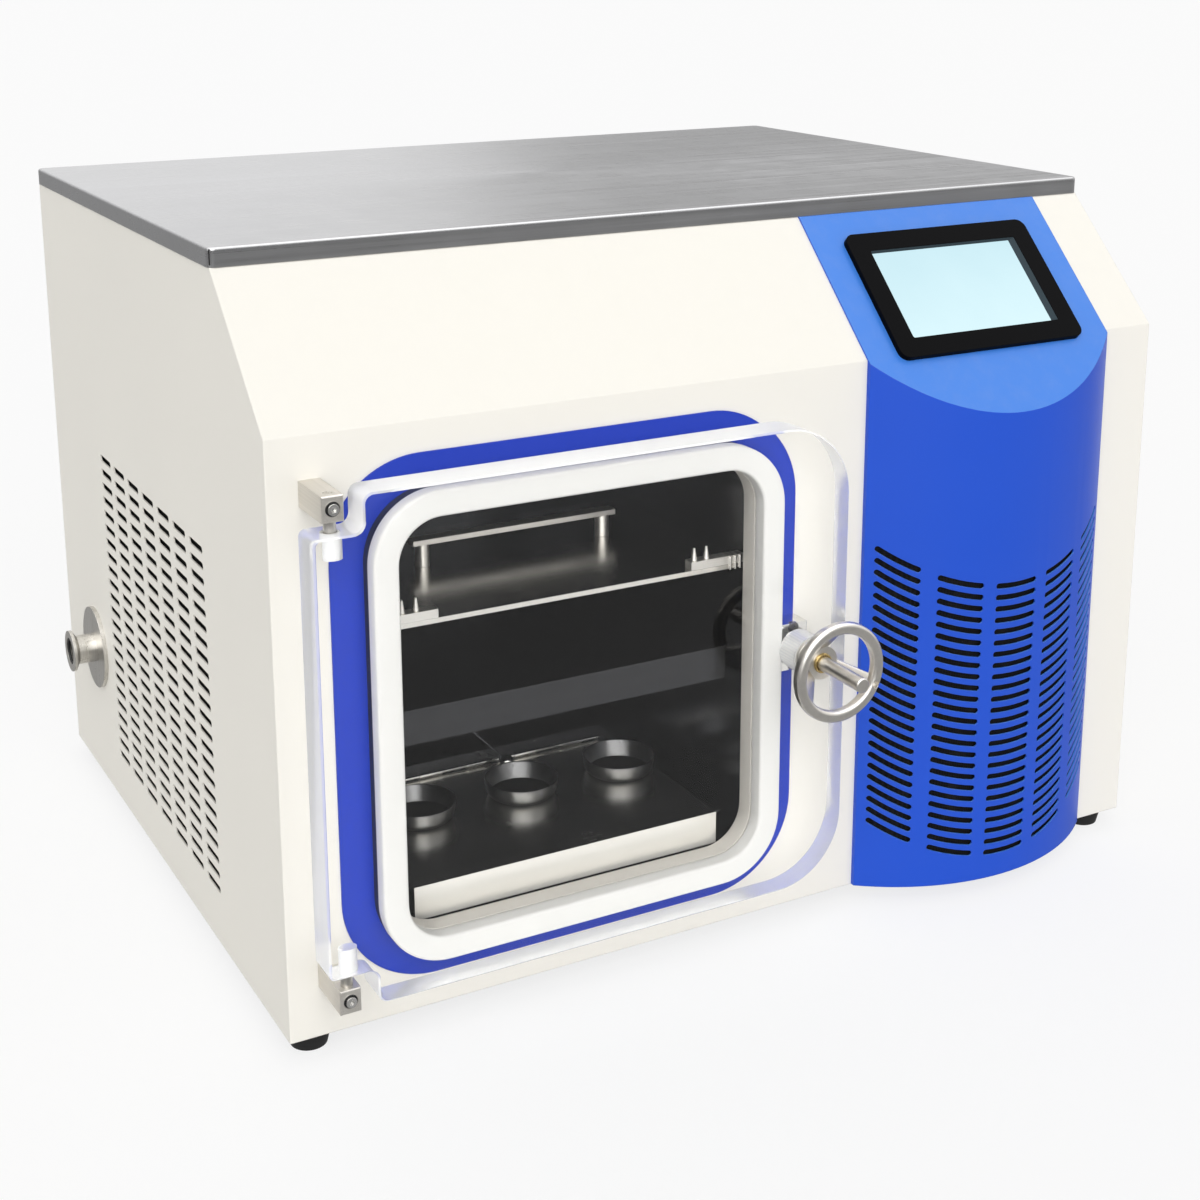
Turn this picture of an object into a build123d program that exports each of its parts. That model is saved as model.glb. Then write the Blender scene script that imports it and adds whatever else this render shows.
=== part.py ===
"""Bench-top freeze dryer: a cabinet with a vacuum chamber, an acrylic door and a control column.

The pieces are modelled in the cabinet's frame: x runs right from the left side, y runs back from
the front panel and z runs up from the underside of the cabinet. At export everything moves to the
part's own frame, whose origin is the middle of the bounding box, on the floor.
All lengths are millimetres and all angles are degrees.
"""

from build123d import *

import os
from math import asin, cos, degrees, radians, sin, sqrt

# --- Cabinet -------------------------------------------------------------------------------------
CABINET_DEPTH = 652.0
SHELL_HEIGHT = 580.0            # underside of the cabinet to the underside of the lid
LEFT_MARGIN = 81.0              # from the left side to the chamber's opening
FLOOR_MARGIN = 70.0             # from the underside to the chamber's opening
COLUMN_GAP = 115.0              # from the chamber's opening to the column
RIGHT_MARGIN = 54.0             # from the column to the right side
SLOPE_RUN = 106.0               # how far the front leans back above its fold, at 45 degrees
SHEET = 1.5                     # thickness of the folded sheet panels
FOLD_RADIUS = 1.2               # outside of the front's folds, less than the sheet
PAN_FLANGE_HEIGHT = 22.0
LID_THICKNESS = 15.0
LID_OVERHANG = 1.0
LID_FLANGE = 20.0
LID_CORNER_RADIUS = 6.0
LID_EDGE_RADIUS = 2.5

# --- Left grille ---------------------------------------------------------------------------------
GRILLE_COLUMNS = 7
GRILLE_ROWS = 23
GRILLE_COLUMN_PITCH = 46.4
GRILLE_ROW_PITCH = 13.4
GRILLE_SLOT_LENGTH = 36.0
GRILLE_SLOT_HEIGHT = 6.0
GRILLE_CENTRE_Y = 320.0
GRILLE_CENTRE_Z = 198.0

# --- Control column ------------------------------------------------------------------------------
COLUMN_WIDTH = 259.0
COLUMN_BULGE = 50.0             # how far the column stands out from the front panel
COLUMN_SIDE_STEP = 4.0          # straight part of each side before the curve starts
COLUMN_SHEET = 1.5
COLUMN_OPENING_MARGIN = 18.0    # front panel left standing behind each edge of the column
SLOT_COLUMNS = 5
SLOT_ROWS = 25
SLOT_GAP = 12.0                 # between the slots of one row, along the curve
SLOT_HEIGHT = 5.0
SLOT_CUTTER_FRONT = 4.0          # the slots' cutters start this far outside the curve
SLOT_CUTTER_DEPTH = 10.0
SLOT_TOP_DROP = 151.0           # from the fold down to the top row, at the panel's plane
SLOT_BOTTOM_HEIGHT = 74.0       # height of the lowest row, at the panel's plane

# --- Touch screen --------------------------------------------------------------------------------
SCREEN_CENTRE_UP = 58.0         # from the fold, along the slope
BEZEL_WIDTH = 197.0
BEZEL_HEIGHT = 128.0
BEZEL_THICKNESS = 5.0
BEZEL_RADIUS = 9.0
GLASS_WIDTH = 158.0
GLASS_HEIGHT = 91.0
GLASS_RADIUS = 2.0
GLASS_RECESS = 1.6              # from the bezel's face down to the glass
GLASS_THICKNESS = 2.4
HOUSING_MARGIN = 8.0            # the bezel's edge beyond the housing behind it
HOUSING_DEPTH = 34.0

# --- Vacuum chamber ------------------------------------------------------------------------------
CHAMBER_WIDTH = 324.0           # inside
CHAMBER_HEIGHT = 344.0          # inside
CHAMBER_DEPTH = 238.0           # inside, behind the front panel's face
CHAMBER_RADIUS = 30.0           # inside corners
CHAMBER_WALL = 4.0
NECK_WALL = 8.0
NECK_LENGTH = 10.0              # stands out of the front panel
NECK_BACK = 8.0                 # thick part behind the front panel's face
COIL_TUBE_RADIUS = 4.0
HEADER_RADIUS = 3.5
COIL_TURNS = 6
COIL_START = 34.0
COIL_PITCH = 34.0
COIL_CLEARANCE = 0.3
INSULATION_THICKNESS = 22.0

# --- Door surround, gasket and door --------------------------------------------------------------
SURROUND_SIDE = 31.0            # beside the neck
SURROUND_ABOVE = 28.0           # above and below the neck
SURROUND_RADIUS = 76.0
SURROUND_THICKNESS = 1.5
GASKET_SIDE_LAP = 6.0           # how far the gasket covers the chamber's opening
GASKET_TOP_LAP = 5.0
GASKET_FACE = 20.0
GASKET_DEPTH = 15.0
GASKET_INNER_RADIUS = 34.0
GASKET_EDGE_RADIUS = 3.0
DOOR_LEFT_MARGIN = 66.6         # from the chamber's opening to the door's edges
DOOR_RIGHT_MARGIN = 61.0
DOOR_BOTTOM_MARGIN = 22.0
DOOR_TOP_MARGIN = 28.0
DOOR_THICKNESS = 30.0
DOOR_CORNER_RADIUS = 60.0
DOOR_EDGE_CHAMFER = 1.5
NOTCH_WIDTH = 37.6
UPPER_NOTCH_HEIGHT = 28.5
LOWER_NOTCH_HEIGHT = 28.0
NOTCH_RADIUS = 8.0
NOTCH_OUTER_RADIUS = 5.0

# --- Door hinges ---------------------------------------------------------------------------------
HINGE_INSET = 18.1              # pin axis from the door's left edge
HINGE_STANDOFF = 39.0           # pin axis in front of the front panel
HINGE_BLOCK_WIDTH = 16.5
HINGE_BLOCK_HEIGHT = 19.5
HINGE_BLOCK_DEPTH = 47.0
UPPER_HINGE_GAP = 8.5           # from block to door, along the pin
LOWER_HINGE_GAP = 14.5
HINGE_PIN_RADIUS = 4.6
DOOR_BUSH_RADIUS = 7.2
DOOR_BUSH_LENGTH = 19.0
DOOR_BUSH_CAP = 3.0
HINGE_RECESS_RADIUS = 5.6
HINGE_RECESS_DEPTH = 1.5
TURNED_CHAMFER = 0.8            # front edges of the hinge blocks and of the bolt
SCREW_RADIUS = 2.5
SCREW_HEAD_RADIUS = 4.2
SCREW_HEAD_HEIGHT = 3.5
SCREW_SOCKET_RADIUS = 2.0
SCREW_SOCKET_DEPTH = 2.0
SCREW_END = 7.0                 # how far the hinge screws reach behind the front panel's face

# --- Door clamp ----------------------------------------------------------------------------------
CLAMP_OFFSET = 0.0              # keeper beside the gasket, which it stands against
CLAMP_RISE = 8.0                # bolt axis above the chamber's middle
CLAMP_BOLT_RADIUS = 6.0
CLAMP_BOLT_REACH = 126.0        # end of the bolt in front of the front panel
TONGUE_LENGTH = 22.0
TONGUE_THICKNESS = 5.0
TONGUE_PLAY = 1.5               # between tongue and keeper, all round
KEEPER_FACE = 4.5               # thickness of the keeper's face plate
KEEPER_DOOR_GAP = 5.0           # from the keeper to the door's back
KEEPER_RIM = 5.5                # beside the slot
KEEPER_LEG = 7.5                # above and below the slot
COLLAR_RADIUS = 9.0
COLLAR_THICKNESS = 2.2
CLAMP_BUSH_RADIUS = 16.5
WASHER_RADIUS = 15.0
WASHER_THICKNESS = 3.0
HUB_RADIUS = 14.0
HUB_LENGTH = 13.0
WHEEL_DIAMETER = 83.0
WHEEL_DISH = 22.0               # from the hub's face forward to the rim's middle
RIM_WIDTH = 9.5
RIM_DEPTH = 10.0
RIM_EDGE_RADIUS = 3.6
SPOKE_ANGLES = (95.0, 215.0, 335.0)
SPOKE_WIDTH = 12.0
SPOKE_THICKNESS = 7.0
SPOKE_ROOT_THICKNESS = 9.0
SPOKE_ROOT = 3.0                # how far each spoke reaches into the hub
SPOKE_SETBACK = 2.0             # from the hub's back to the spokes
KNOB_HOLE_RADIUS = 3.0

# --- Shelves and what stands on them -------------------------------------------------------------
SHELF_SIDE_GAP = 1.0            # from the upper shelf to the chamber's side walls
SHELF_FRONT = 12.0              # front edge of each shelf behind the front panel's face
SHELF_BACK_GAP = 20.0
UPPER_SHELF_LEVEL = 248.0       # above the chamber's floor
UPPER_SHELF_THICKNESS = 4.0
MIDDLE_SHELF_SIDE_GAP = 18.0     # from the shelf to the chamber's side walls
LOWER_SHELF_SIDE_GAP = 25.0
TRAY_SHELF_SHEET = 2.0
TRAY_LIP = 28.0
TRAY_BACK_LIP = 10.0
MIDDLE_SHELF_LEVEL = 178.0
LOWER_SHELF_LEVEL = 31.0
SUPPORT_THICKNESS = 3.0
SUPPORT_WIDTH = 12.0            # how much of a shelf's side lies on its ledge
SUPPORT_END_GAP = 4.0           # from a ledge's ends to the lips of a folded shelf
LIFT_BAR_OFFSET = 10.0          # beside the chamber's middle
LIFT_BAR_LENGTH = 186.0
LIFT_BAR_HEIGHT = 23.0
LIFT_BAR_THICKNESS = 4.5
LIFT_BAR_DEPTH = 12.0
LIFT_BAR_Y = 130.0
LIFT_POST_RADIUS = 6.0
LIFT_POST_INSET = 10.0
CLIP_LENGTH = 50.0
CLIP_DEPTH = 10.0
CLIP_HEIGHT = 7.0
CLIP_STUD_RADIUS = 2.6
CLIP_STUD_TIP_RADIUS = 1.0
CLIP_STUD_HEIGHT = 10.0
CLIP_STUD_PITCH = 11.5
LEFT_STUD_OFFSET = 3.0           # middle of the two studs beside the middle of their strip
RIGHT_STUD_OFFSET = -14.0
DISH_RADIUS = 31.5
DISH_HEIGHT = 15.0
DISH_WALL = 1.2
DISH_BASE_RADIUS = 5.0
DISH_PITCH = 95.5
DISH_ROW_OFFSET = 10.0          # middle dish beside the chamber's middle
DISH_ROW_Y = 123.0
REAR_RAIL_Y = 189.0
REAR_RAIL_RADIUS = 1.6
REAR_RAIL_INSET = 17.0          # from the lower shelf's sides
SLEEVE_RADIUS = 2.6
SLEEVE_LENGTH = 22.0
SLEEVE_COUNT = 5
SLEEVE_PITCH = 46.0
PROBE_BALL_RADIUS = 7.0
PROBE_OFFSET = 19.0             # beside the chamber's middle
PROBE_Y = 171.0
PROBE_STEM_RADIUS = 1.5

# --- Vacuum port ---------------------------------------------------------------------------------
PORT_INSET = 112.0              # port axis from the cabinet's back
PORT_Z = 137.0
PORT_PLATE_RADIUS = 40.0
PORT_PLATE_THICKNESS = 4.0
PORT_TUBE_RADIUS = 14.0
PORT_BORE_RADIUS = 12.0
PORT_REACH = 27.0               # flange face in front of the side panel
PORT_INNER_REACH = 20.0
FLANGE_RADIUS = 20.0
FLANGE_RIM = 3.0
FLANGE_TAPER = 3.5
FLANGE_RECESS_RADIUS = 13.1
FLANGE_RECESS_DEPTH = 3.0
PIPE_INSET = 29.0               # suction hole from the chamber's left wall

# --- Refrigeration -------------------------------------------------------------------------------
COMPRESSOR_X = 250.0
COMPRESSOR_Y = 445.0
COMPRESSOR_RADIUS = 78.0
COMPRESSOR_HEIGHT = 190.0
COMPRESSOR_DOME = 34.0
COMPRESSOR_PLATE = 3.0
COMPRESSOR_FOOT_SPAN_X = 180.0
COMPRESSOR_FOOT_SPAN_Y = 140.0
COMPRESSOR_FOOT_EDGE = 15.0     # from the middle of each foot to the edge of the plate
COMPRESSOR_PLATE_CORNER = 12.0
GROMMET_RADIUS = 12.0
GROMMET_HEIGHT = 14.0
LINE_RADIUS = 4.0
CONDENSER_WIDTH = 250.0
CONDENSER_HEIGHT = 250.0
CONDENSER_DEPTH = 44.0
CONDENSER_Y = 24.0
CONDENSER_Z = 152.0
CONDENSER_FINS = 24
FIN_THICKNESS = 1.0
FIN_END_GAP = 5.0               # from the fins to the condenser's sides
CONDENSER_END = 2.0             # thickness of each end plate
CONDENSER_TUBES = 6             # in each of two rows
SHROUD_DEPTH = 30.0
SHROUD_WALL = 2.0
ARM_WIDTH = 14.0                # of the arms that carry the motor
ARM_OVERLAP = 4.0               # how far the arms reach over the rim of the throat
FAN_RADIUS = 105.0
FAN_TIP_CLEARANCE = 4.0
FAN_HUB_RADIUS = 26.0
FAN_BLADES = 5
FAN_BLADE_PITCH = 28.0
FAN_BLADE_THICKNESS = 2.0
FAN_DEPTH = 18.0
BLADE_ROOT = 3.0                # how far each blade reaches into the hub
BLADE_DEPTH_SHARE = 0.9         # of the fan's depth
MOTOR_RADIUS = 36.0
MOTOR_LENGTH = 62.0
MOTOR_SHAFT_RADIUS = 4.0
SHAFT_CLEARANCE = 2.0
DRIER_OFFSET = 25.4             # beside the discharge line
DRIER_Y = 445.0
DRIER_Z = 190.0                 # underside
DRIER_RADIUS = 14.0
DRIER_LENGTH = 90.0
COIL_TAIL_SPACING = 50.0
LINE_BEND = 12.0
LINE_RISE = 60.0                # liquid line above the condenser's top tube
LINE_DROP = 80.0                # discharge line from the compressor down to the condenser
LINE_SIDE_GAP = 10.0            # between the discharge line and the chamber's jacket
LINE_BACK_GAP = 30.0            # behind the chamber's jacket

# --- Electrics -----------------------------------------------------------------------------------
BOARD_LENGTH = 170.0
BOARD_HEIGHT = 120.0
BOARD_THICKNESS = 1.6
BOARD_STANDOFF = 10.0
BOARD_OFFSET_Y = 60.0           # behind the middle of the cabinet
BOARD_OFFSET_Z = 60.0           # above the middle of the cabinet
STANDOFF_RADIUS = 4.0
STANDOFF_INSET = 8.0            # from the board's edges
BOARD_COMPONENTS = (             # place along and up the board, and length
    (-50.0, 20.0, 26.0), (-10.0, -20.0, 34.0), (45.0, 25.0, 22.0), (50.0, -25.0, 18.0),
)
COMPONENT_HEIGHT = 20.0
COMPONENT_DEPTH = 14.0
SUPPLY_LENGTH = 160.0
SUPPLY_WIDTH = 98.0
SUPPLY_HEIGHT = 42.0
SUPPLY_GAP = 20.0               # to the right side panel and to the mains inlet
INLET_INSET = 133.0             # from the cabinet's right side
INLET_Z = 100.0
INLET_WIDTH = 48.0
INLET_HEIGHT = 28.0
INLET_DEPTH = 30.0
INLET_FLANGE = 3.0
INLET_RIM = 4.0                 # how far the flange reaches past the body
SOCKET_WIDTH = 24.0
SOCKET_HEIGHT = 16.0
SOCKET_DEPTH = 18.0
INLET_PINS = ((-7.0, -2.0), (0.0, 3.0), (7.0, -2.0))  # beside and above the socket's middle
INLET_PIN_WIDTH = 2.0
INLET_PIN_HEIGHT = 4.0
INLET_PIN_SETBACK = 1.0
SWITCH_INSET = 73.0
SWITCH_WIDTH = 22.0
SWITCH_HEIGHT = 30.0
SWITCH_WALL = 3.0
SWITCH_DEPTH = 22.0
SWITCH_FLOOR = 4.0
SWITCH_RIM = 2.5                # how far the flange reaches past the body
SWITCH_FLANGE = 2.0
PIVOT_RADIUS = 1.5
PIVOT_DEPTH = 1.5               # how far the rocker's pivot enters each wall
PIVOT_SETBACK = 6.0
ROCKER_CLEARANCE = 0.4
ROCKER_TILT = 9.0
ROCKER_END_CLEARANCE = 1.6
ROCKER_FRONT = 7.0              # from the pivot to the rocker's face
ROCKER_BACK = 3.0               # from the pivot to the rocker's back
ROCKER_HOLLOW = 1.5             # dip in the middle of the face
ROCKER_TAPER = 2.0              # how much shorter each half is at the back

# --- Feet and rear screws ------------------------------------------------------------------------
FOOT_RADIUS = 18.5
FOOT_TIP_RADIUS = 14.5
FOOT_HEIGHT = 17.0
FOOT_EDGE_RADIUS = 3.0
FOOT_INSET_X = 23.0
FOOT_INSET_Y = 24.0
FOOT_SCREW_RADIUS = 3.0
FOOT_SCREW_HEAD_RADIUS = 6.0
FOOT_SCREW_HEAD_HEIGHT = 3.0
FOOT_SCREW_RECESS = 7.0
FOOT_SCREW_GRIP = 4.0           # how far each screw stands above the base pan's floor
REAR_SCREW_RADIUS = 6.5
REAR_SCREW_HEAD = 12.0
REAR_SCREW_GRIP = 5.0           # how far the screws reach in behind the rear panel
REAR_SCREW_INSET = 12.0
REAR_SCREW_DROP = 14.0          # upper screws below the lid
REAR_SCREW_LOWER_Z = 48.0
REAR_VENT_ROWS = 12
REAR_VENT_ROW_PITCH = 16.0
REAR_VENT_LENGTH = 160.0
REAR_VENT_HEIGHT = 6.0
REAR_VENT_Z = 250.0

# --- Fits ----------------------------------------------------------------------------------------
RUNNING_FIT = 0.05              # radial, a shaft that turns in its bore
SEAT_FIT = 0.02                 # radial, a piece that sits still in its bore
HOLE_FIT = 0.5                  # around whatever passes through a sheet
TOUCH_GAP = 0.3                 # between pieces that nearly touch and move

# --- Worked out from the values above ------------------------------------------------------------
ROOT_TWO = sqrt(2.0)
FRONT_HEIGHT = SHELL_HEIGHT - SLOPE_RUN
CHAMBER_LEFT = LEFT_MARGIN
CHAMBER_RIGHT = CHAMBER_LEFT + CHAMBER_WIDTH
CHAMBER_CENTRE_X = (CHAMBER_LEFT + CHAMBER_RIGHT) / 2
CHAMBER_FLOOR = FLOOR_MARGIN
CHAMBER_CEILING = CHAMBER_FLOOR + CHAMBER_HEIGHT
CHAMBER_CENTRE_Z = (CHAMBER_FLOOR + CHAMBER_CEILING) / 2
COLUMN_LEFT = CHAMBER_RIGHT + COLUMN_GAP
COLUMN_RIGHT = COLUMN_LEFT + COLUMN_WIDTH
COLUMN_MIDDLE = COLUMN_LEFT + COLUMN_WIDTH / 2
CABINET_WIDTH = COLUMN_RIGHT + RIGHT_MARGIN
COLUMN_SAGITTA = COLUMN_BULGE - COLUMN_SIDE_STEP
COLUMN_RADIUS = COLUMN_WIDTH**2 / (8 * COLUMN_SAGITTA) + COLUMN_SAGITTA / 2
COLUMN_CENTRE_Y = COLUMN_RADIUS - COLUMN_BULGE
GASKET_FRONT = -(NECK_LENGTH + GASKET_DEPTH)
DOOR_BACK = GASKET_FRONT
DOOR_FRONT = DOOR_BACK - DOOR_THICKNESS
NECK_WIDTH = CHAMBER_WIDTH + 2 * NECK_WALL
NECK_HEIGHT = CHAMBER_HEIGHT + 2 * NECK_WALL
NECK_RADIUS = CHAMBER_RADIUS + NECK_WALL
CHAMBER_OUTER_WIDTH = CHAMBER_WIDTH + 2 * CHAMBER_WALL
CHAMBER_OUTER_HEIGHT = CHAMBER_HEIGHT + 2 * CHAMBER_WALL
CHAMBER_OUTER_RADIUS = CHAMBER_RADIUS + CHAMBER_WALL
CHAMBER_BACK = CHAMBER_DEPTH + CHAMBER_WALL
COIL_OFFSET = COIL_CLEARANCE + COIL_TUBE_RADIUS
COIL_SPACE = 2 * COIL_OFFSET
INSULATION_BACK = CHAMBER_BACK + INSULATION_THICKNESS
PIPE_X = CHAMBER_LEFT + PIPE_INSET
PORT_Y = CABINET_DEPTH - PORT_INSET
INLET_X = CABINET_WIDTH - INLET_INSET
SWITCH_X = CABINET_WIDTH - SWITCH_INSET
INSULATION_WIDTH = CHAMBER_OUTER_WIDTH + 2 * (COIL_SPACE + INSULATION_THICKNESS)
INSULATION_HEIGHT = CHAMBER_OUTER_HEIGHT + 2 * (COIL_SPACE + INSULATION_THICKNESS)
LINE_SIDE_X = CHAMBER_CENTRE_X + INSULATION_WIDTH / 2 + LINE_SIDE_GAP + LINE_RADIUS
DRIER_X = LINE_SIDE_X + DRIER_OFFSET
DOOR_LEFT = CHAMBER_LEFT - DOOR_LEFT_MARGIN
DOOR_RIGHT = CHAMBER_RIGHT + DOOR_RIGHT_MARGIN
DOOR_BOTTOM = CHAMBER_FLOOR - DOOR_BOTTOM_MARGIN
DOOR_TOP = CHAMBER_CEILING + DOOR_TOP_MARGIN
HINGE_X = DOOR_LEFT + HINGE_INSET
CLAMP_Z = CHAMBER_CENTRE_Z + CLAMP_RISE
UPPER_NOTCH_Z = DOOR_TOP - UPPER_NOTCH_HEIGHT
LOWER_NOTCH_Z = DOOR_BOTTOM + LOWER_NOTCH_HEIGHT
UPPER_BLOCK_Z = UPPER_NOTCH_Z + UPPER_HINGE_GAP + HINGE_BLOCK_HEIGHT / 2
LOWER_BLOCK_Z = LOWER_NOTCH_Z - LOWER_HINGE_GAP - HINGE_BLOCK_HEIGHT / 2
HINGE_SEAT = HINGE_RECESS_DEPTH - HINGE_BLOCK_DEPTH
KEEPER_FRONT = DOOR_BACK + KEEPER_DOOR_GAP
KEEPER_BACK = KEEPER_FRONT + KEEPER_FACE
SLOT_OPENING_WIDTH = 2 * (CLAMP_BOLT_RADIUS + TONGUE_PLAY)
SLOT_OPENING_HEIGHT = TONGUE_LENGTH + 2 * TONGUE_PLAY
KEEPER_WIDTH = SLOT_OPENING_WIDTH + 2 * KEEPER_RIM
GASKET_RIGHT = CHAMBER_RIGHT - GASKET_SIDE_LAP + GASKET_FACE
CLAMP_X = GASKET_RIGHT + CLAMP_OFFSET + KEEPER_WIDTH / 2
KEEPER_HEIGHT = SLOT_OPENING_HEIGHT + 2 * KEEPER_LEG
TONGUE_FRONT = KEEPER_BACK + TONGUE_PLAY
WASHER_FRONT = DOOR_FRONT - WASHER_THICKNESS
HUB_BACK = WASHER_FRONT - TOUCH_GAP
HUB_FRONT = HUB_BACK - HUB_LENGTH
RIM_MIDDLE = HUB_FRONT - WHEEL_DISH
RIM_RADIUS = (WHEEL_DIAMETER - RIM_WIDTH) / 2
BEZEL_BASE = COLUMN_SHEET
BEZEL_FACE = BEZEL_BASE + BEZEL_THICKNESS
GLASS_FACE = BEZEL_FACE - GLASS_RECESS
HOUSING_WIDTH = BEZEL_WIDTH - 2 * HOUSING_MARGIN
HOUSING_HEIGHT = BEZEL_HEIGHT - 2 * HOUSING_MARGIN
SHELF_BACK = CHAMBER_DEPTH - SHELF_BACK_GAP
UPPER_SHELF_TOP = CHAMBER_FLOOR + UPPER_SHELF_LEVEL
MIDDLE_SHELF_TOP = CHAMBER_FLOOR + MIDDLE_SHELF_LEVEL
LOWER_SHELF_TOP = CHAMBER_FLOOR + LOWER_SHELF_LEVEL
UPPER_SHELF_WIDTH = CHAMBER_WIDTH - 2 * SHELF_SIDE_GAP
MIDDLE_SHELF_WIDTH = CHAMBER_WIDTH - 2 * MIDDLE_SHELF_SIDE_GAP
LOWER_SHELF_WIDTH = CHAMBER_WIDTH - 2 * LOWER_SHELF_SIDE_GAP
SHROUD_FRONT = CONDENSER_Y + CONDENSER_DEPTH
SHROUD_BACK = SHROUD_FRONT + SHROUD_DEPTH
FAN_Y = SHROUD_BACK - SHROUD_WALL - FAN_DEPTH / 2 - FAN_TIP_CLEARANCE
MOTOR_FRONT = SHROUD_BACK + TOUCH_GAP
FEET = [
    ("foot_front_left", FOOT_INSET_X, FOOT_INSET_Y),
    ("foot_front_right", CABINET_WIDTH - FOOT_INSET_X, FOOT_INSET_Y),
    ("foot_rear_left", FOOT_INSET_X, CABINET_DEPTH - FOOT_INSET_Y),
    ("foot_rear_right", CABINET_WIDTH - FOOT_INSET_X, CABINET_DEPTH - FOOT_INSET_Y),
]
BOX_LEFT = -PORT_REACH
BOX_RIGHT = CABINET_WIDTH + LID_OVERHANG
BOX_FRONT = -CLAMP_BOLT_REACH
BOX_BACK = CABINET_DEPTH + REAR_SCREW_HEAD
ORIGIN = Vector((BOX_LEFT + BOX_RIGHT) / 2, (BOX_FRONT + BOX_BACK) / 2, -FOOT_HEIGHT)


# --- Helpers -------------------------------------------------------------------------------------
def box(x0, x1, y0, y1, z0, z1):
    """A box between two x, two y and two z coordinates."""
    middle = Pos((x0 + x1) / 2, (y0 + y1) / 2, (z0 + z1) / 2)
    return middle * Box(x1 - x0, y1 - y0, z1 - z0)


def rod(radius, start, end):
    """A round rod between two points."""
    axis = Vector(*end) - Vector(*start)
    plane = Plane(origin=Vector(*start), z_dir=axis)
    return extrude(plane * Circle(radius), axis.length)


def prism(plane, points, amount):
    """A straight-sided outline on a plane, extruded along the plane's own direction."""
    return extrude(plane * Polygon(*points, align=None), amount, dir=plane.z_dir)


def upright(y):
    """The plane at depth y that faces the front: x to the right, z up, extrusions go forward."""
    return Plane(origin=(0, y, 0), x_dir=(1, 0, 0), z_dir=(0, -1, 0))


def sideways(x):
    """The plane at x whose own axes are y and z: extrusions go to the right."""
    return Plane(origin=(x, 0, 0), x_dir=(0, 1, 0), z_dir=(1, 0, 0))


def slab(width, height, radius, back, thickness, x=CHAMBER_CENTRE_X, z=CHAMBER_CENTRE_Z):
    """An upright plate with rounded corners, centred on (x, z), from its back face forward."""
    return extrude(upright(back) * Pos(x, z) * RectangleRounded(width, height, radius), thickness)


def slope_plane(up, height=0.0):
    """The plane of the 45 degree front, at a distance up from the fold and a height above it."""
    along = up / ROOT_TWO
    out = height / ROOT_TWO
    origin = (COLUMN_MIDDLE, along - out, FRONT_HEIGHT + along + out)
    return Plane(origin=origin, x_dir=(1, 0, 0), z_dir=(0, -1, 1))


def side_outline(inset):
    """The cabinet seen from the side, with the front and the slope set in by a sheet thickness."""
    fold = FRONT_HEIGHT + inset - inset * ROOT_TWO
    top = SLOPE_RUN + inset * ROOT_TWO
    return [(inset, 0), (inset, fold), (top, SHELL_HEIGHT), (CABINET_DEPTH, SHELL_HEIGHT), (CABINET_DEPTH, 0)]


def pattern(count, pitch):
    """Offsets of a centred row of things."""
    return [(index - (count - 1) / 2) * pitch for index in range(count)]


# --- Cabinet pieces ------------------------------------------------------------------------------
def base_pan():
    """Floor of the cabinet with its folded-up rim and the holes of the foot screws."""
    left, right = SHEET, CABINET_WIDTH - SHEET
    front, back = SHEET, CABINET_DEPTH - SHEET
    pan = box(left, right, front, back, 0, PAN_FLANGE_HEIGHT)
    pan -= box(left + SHEET, right - SHEET, front + SHEET, back - SHEET, SHEET, PAN_FLANGE_HEIGHT + 1)
    for _, x, y in FEET:
        pan -= rod(FOOT_SCREW_RADIUS + HOLE_FIT, (x, y, -1), (x, y, SHEET + 1))
    return pan


def side_panel(x):
    """A plain side of the cabinet, behind the front panel."""
    return prism(sideways(x), side_outline(SHEET), SHEET)


def left_side_panel():
    """The left side, with its grille and the hole of the vacuum port."""
    panel = side_panel(0)
    slot = SlotOverall(GRILLE_SLOT_LENGTH, GRILLE_SLOT_HEIGHT)
    places = [
        Pos(GRILLE_CENTRE_Y + y, GRILLE_CENTRE_Z + z)
        for y in pattern(GRILLE_COLUMNS, GRILLE_COLUMN_PITCH)
        for z in pattern(GRILLE_ROWS, GRILLE_ROW_PITCH)
    ]
    slots = Sketch() + [place * slot for place in places]
    panel -= extrude(sideways(-1) * slots, SHEET + 2)
    return panel - rod(PORT_TUBE_RADIUS + HOLE_FIT, (-1, PORT_Y, PORT_Z), (SHEET + 1, PORT_Y, PORT_Z))


def right_side_panel():
    """The right side."""
    return side_panel(CABINET_WIDTH - SHEET)


def front_panel():
    """Upright front and slope in one folded sheet, open for chamber, column, screen and screws."""
    outer = side_outline(0)[:3]
    inner = side_outline(SHEET)[:3]
    panel = prism(sideways(0), outer + inner[::-1], CABINET_WIDTH)
    ends = panel.faces().filter_by(Axis.X).edges()
    outside = panel.faces().filter_by(lambda f: f.normal_at().Y < -0.5).edges()
    shown = [e for e in outside if e in ends] + [outside.filter_by(Axis.X).sort_by(Axis.Z)[1]]
    panel = fillet(shown, FOLD_RADIUS)
    hole = (NECK_WIDTH + 2 * HOLE_FIT, NECK_HEIGHT + 2 * HOLE_FIT, NECK_RADIUS + HOLE_FIT)
    panel -= slab(*hole, SHEET + 1, SHEET + 2)
    panel -= box(
        COLUMN_LEFT + COLUMN_OPENING_MARGIN, COLUMN_RIGHT - COLUMN_OPENING_MARGIN,
        -1, SHEET + 1,
        PAN_FLANGE_HEIGHT, FRONT_HEIGHT - COLUMN_OPENING_MARGIN,
    )
    panel -= screen_opening()
    for x, z in screw_places():
        panel -= rod(SCREW_RADIUS + HOLE_FIT, (x, -1, z), (x, SHEET + 1, z))
    return panel


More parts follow.
